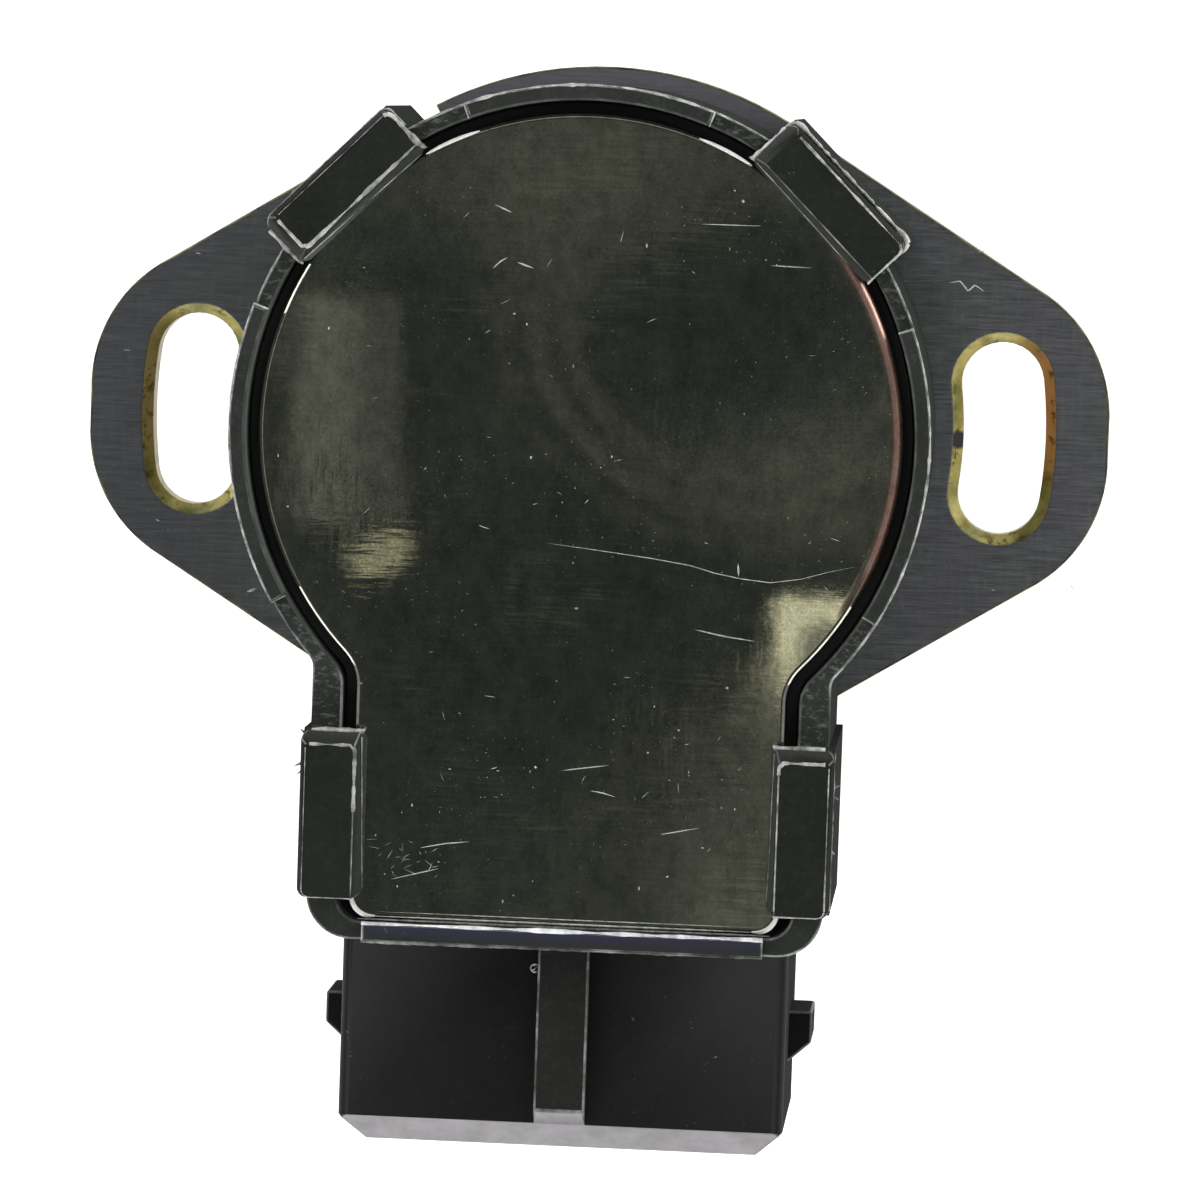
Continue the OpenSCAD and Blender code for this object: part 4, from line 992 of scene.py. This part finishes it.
def canopy_paint():
    """The dark side of the room above the camera: olive and teal clouds, pale and dark spots, and faint rings
    round one dark spot, as the sine of the distance from it."""
    f = Finish("canopy_paint", Roughness=0.9, **{"Specular IOR Level": 0.0})
    f.shader.inputs["Base Color"].default_value = (0.01, 0.01, 0.01, 1)
    clouds = f.noise(1, 4, 0.6, f.stretched(26, 11, 1))
    shade = f.mix(f.span(clouds, 0.36, 0.66), (0.023, 0.032, 0.029, 1), (0.065, 0.072, 0.062, 1))
    streaks = f.noise(1, 4, 0.7, f.stretched(95, 14, 1))
    shade = f.mix(f.span(streaks, 0.5, 0.75, 0, 0.5), shade, (0.096, 0.101, 0.088, 1))
    shade = f.mix(f.span(streaks, 0.45, 0.25, 0, 0.8), shade, (0.016, 0.026, 0.024, 1))
    shade = f.mix(f.fade(f.away(*mirrored(-1, 15.5)), 30, 10, 0, 0.8), shade, (0.135, 0.14, 0.118, 1))
    for x, y, share, reach, glow in ((11, -18, 0.5, 26, 0.1), (10.8, -25.2, 0.95, 21, 0.205),
                                     (12, -0.8, 0.65, 22, 0.135), (11.5, 11.5, 0.6, 30, 0.12)):
        pale = (glow, glow * 1.03, glow * 0.88, 1)
        shade = f.mix(f.fade(f.away(*mirrored(x, y)), reach, reach / 3, 0, share), shade, pale)
    for x, y, share in ((-3, -12, 0.5), (-5, -20, 0.4), (-5.5, 3, 0.45), (1, -6.5, 0.45), (2.5, -15, 0.4)):
        shade = f.mix(f.fade(f.away(*mirrored(x, y)), 36, 8, 0, share), shade, (0.018, 0.024, 0.021, 1))
    gone = f.away(*mirrored(8.3, 7.5))
    rings = f.sum("SINE", f.sum("MULTIPLY", gone, RING_WAVES))
    rings = f.both(f.span(rings, -0.4, 1), f.between(gone, 23, 28, 34, 42), f.span(f.noise(22, 2), 0.3, 0.5))
    shade = f.mix(f.fade(gone, 26, 12), shade, (0.028, 0.036, 0.031, 1))
    shade = f.mix(f.sum("MULTIPLY", rings, 0.8), shade, (0.15, 0.15, 0.118, 1))
    f.give(f.shader.inputs["Emission Color"], shade)
    f.shader.inputs["Emission Strength"].default_value = 1.0
    return f.material


def patch(name, corners, colour, glow, z):
    """A pale card above the camera, placed by where the cover shows it."""
    paint = stage_paint(name, colour, glow, (0.004, 0.004, 0.004, 1))
    return card(name, [mirrored(x, y, z) for x, y in corners], z, paint)


card("floor", square(-FLOOR_REACH, FLOOR_REACH, -FLOOR_REACH, FLOOR_REACH), SEAT_Z - 0.02,
     stage_paint("pale_floor", (0.92, 0.92, 0.92, 1), 0.85), False)
card("dark_canopy", square(-420, 380, -440, 380), CANOPY_Z, canopy_paint())
for name, z, glow, colour, corners in (
        ("left_patch", 685, 0.95, (0.212, 0.212, 0.186, 1), [(-15.3, 6.9), (-12.1, 6.9), (-11.8, -4.9), (-15.0, -5.0)]),
        ("left_patch_dim", 690, 0.8, (0.15, 0.152, 0.138, 1), [(-13, 6.9), (-9.8, 6.9), (-9.3, -4.7), (-13, -4.8)]),
        ("left_glint", 680, 0.6, (1, 0.93, 0.64, 1), [(-12.0, -6.5), (-10.4, -5.9), (-8.8, -5.4), (-8.8, -6.7),
                                                      (-9.9, -7.3), (-10.4, -8.0), (-11.9, -7.8)]),
        ("right_glint", 680, 1.3, (1, 0.95, 0.68, 1), [(10.7, -8.2), (15.5, -8.1), (15.5, -9.4), (12.05, -9.5),
                                                       (12.1, -14.2), (10.9, -14.6)]),
        ("right_grey", 670, 1.0, (0.36, 0.36, 0.3, 1), [(12.1, -9.6), (15.5, -9.5), (14.5, -13.3), (12.1, -13.5)])):
    patch(name, corners, colour, glow, z)

world = bpy.data.worlds.new("pale_room")
bpy.context.scene.world = world
world.use_nodes = True
room = world.node_tree.nodes["Background"].inputs
room["Color"].default_value = (1, 1, 1, 1)
room["Strength"].default_value = 0.4


def soft_light(name, x, y, z, width, height, power):
    """A rectangular lamp aimed at the middle of the sensor."""
    lamp = bpy.data.lights.new(name, "AREA")
    lamp.shape = "RECTANGLE"
    lamp.size = width * MM
    lamp.size_y = height * MM
    lamp.energy = power
    piece = bpy.data.objects.new(name, lamp)
    bpy.context.scene.collection.objects.link(piece)
    spot = Vector((x, y, z)) * MM
    aim = Vector((0, -8 * MM, 8 * MM)) - spot
    piece.location = spot
    piece.rotation_euler = aim.to_track_quat("-Z", "Y").to_euler()


for name, heading, power in (("left_light", 160, 1.3), ("far_left_light", 118, 1.1), ("far_right_light", 62, 1.1),
                             ("right_light", 18, 1.3), ("low_right_light", -45, 0.9),
                             ("low_left_light", -135, 0.9)):
    turn = math.radians(heading)
    soft_light(name, LAMP_REACH * math.cos(turn), LAMP_REACH * math.sin(turn), LAMP_Z, 340, 400, power * LAMP_POWER)
soft_light("near_light", -40, -560, 180, 420, 400, 2.1)

lens = bpy.data.cameras.new("camera")
lens.lens = LENS
lens.sensor_width = SENSOR
lens.clip_start = 0.01
lens.clip_end = 20
camera = bpy.data.objects.new("camera", lens)
bpy.context.scene.collection.objects.link(camera)
camera.matrix_world = Matrix.Translation(eye * MM) @ turned.transposed().to_4x4()
bpy.context.scene.camera = camera
bpy.context.scene.view_settings.view_transform = "Standard"
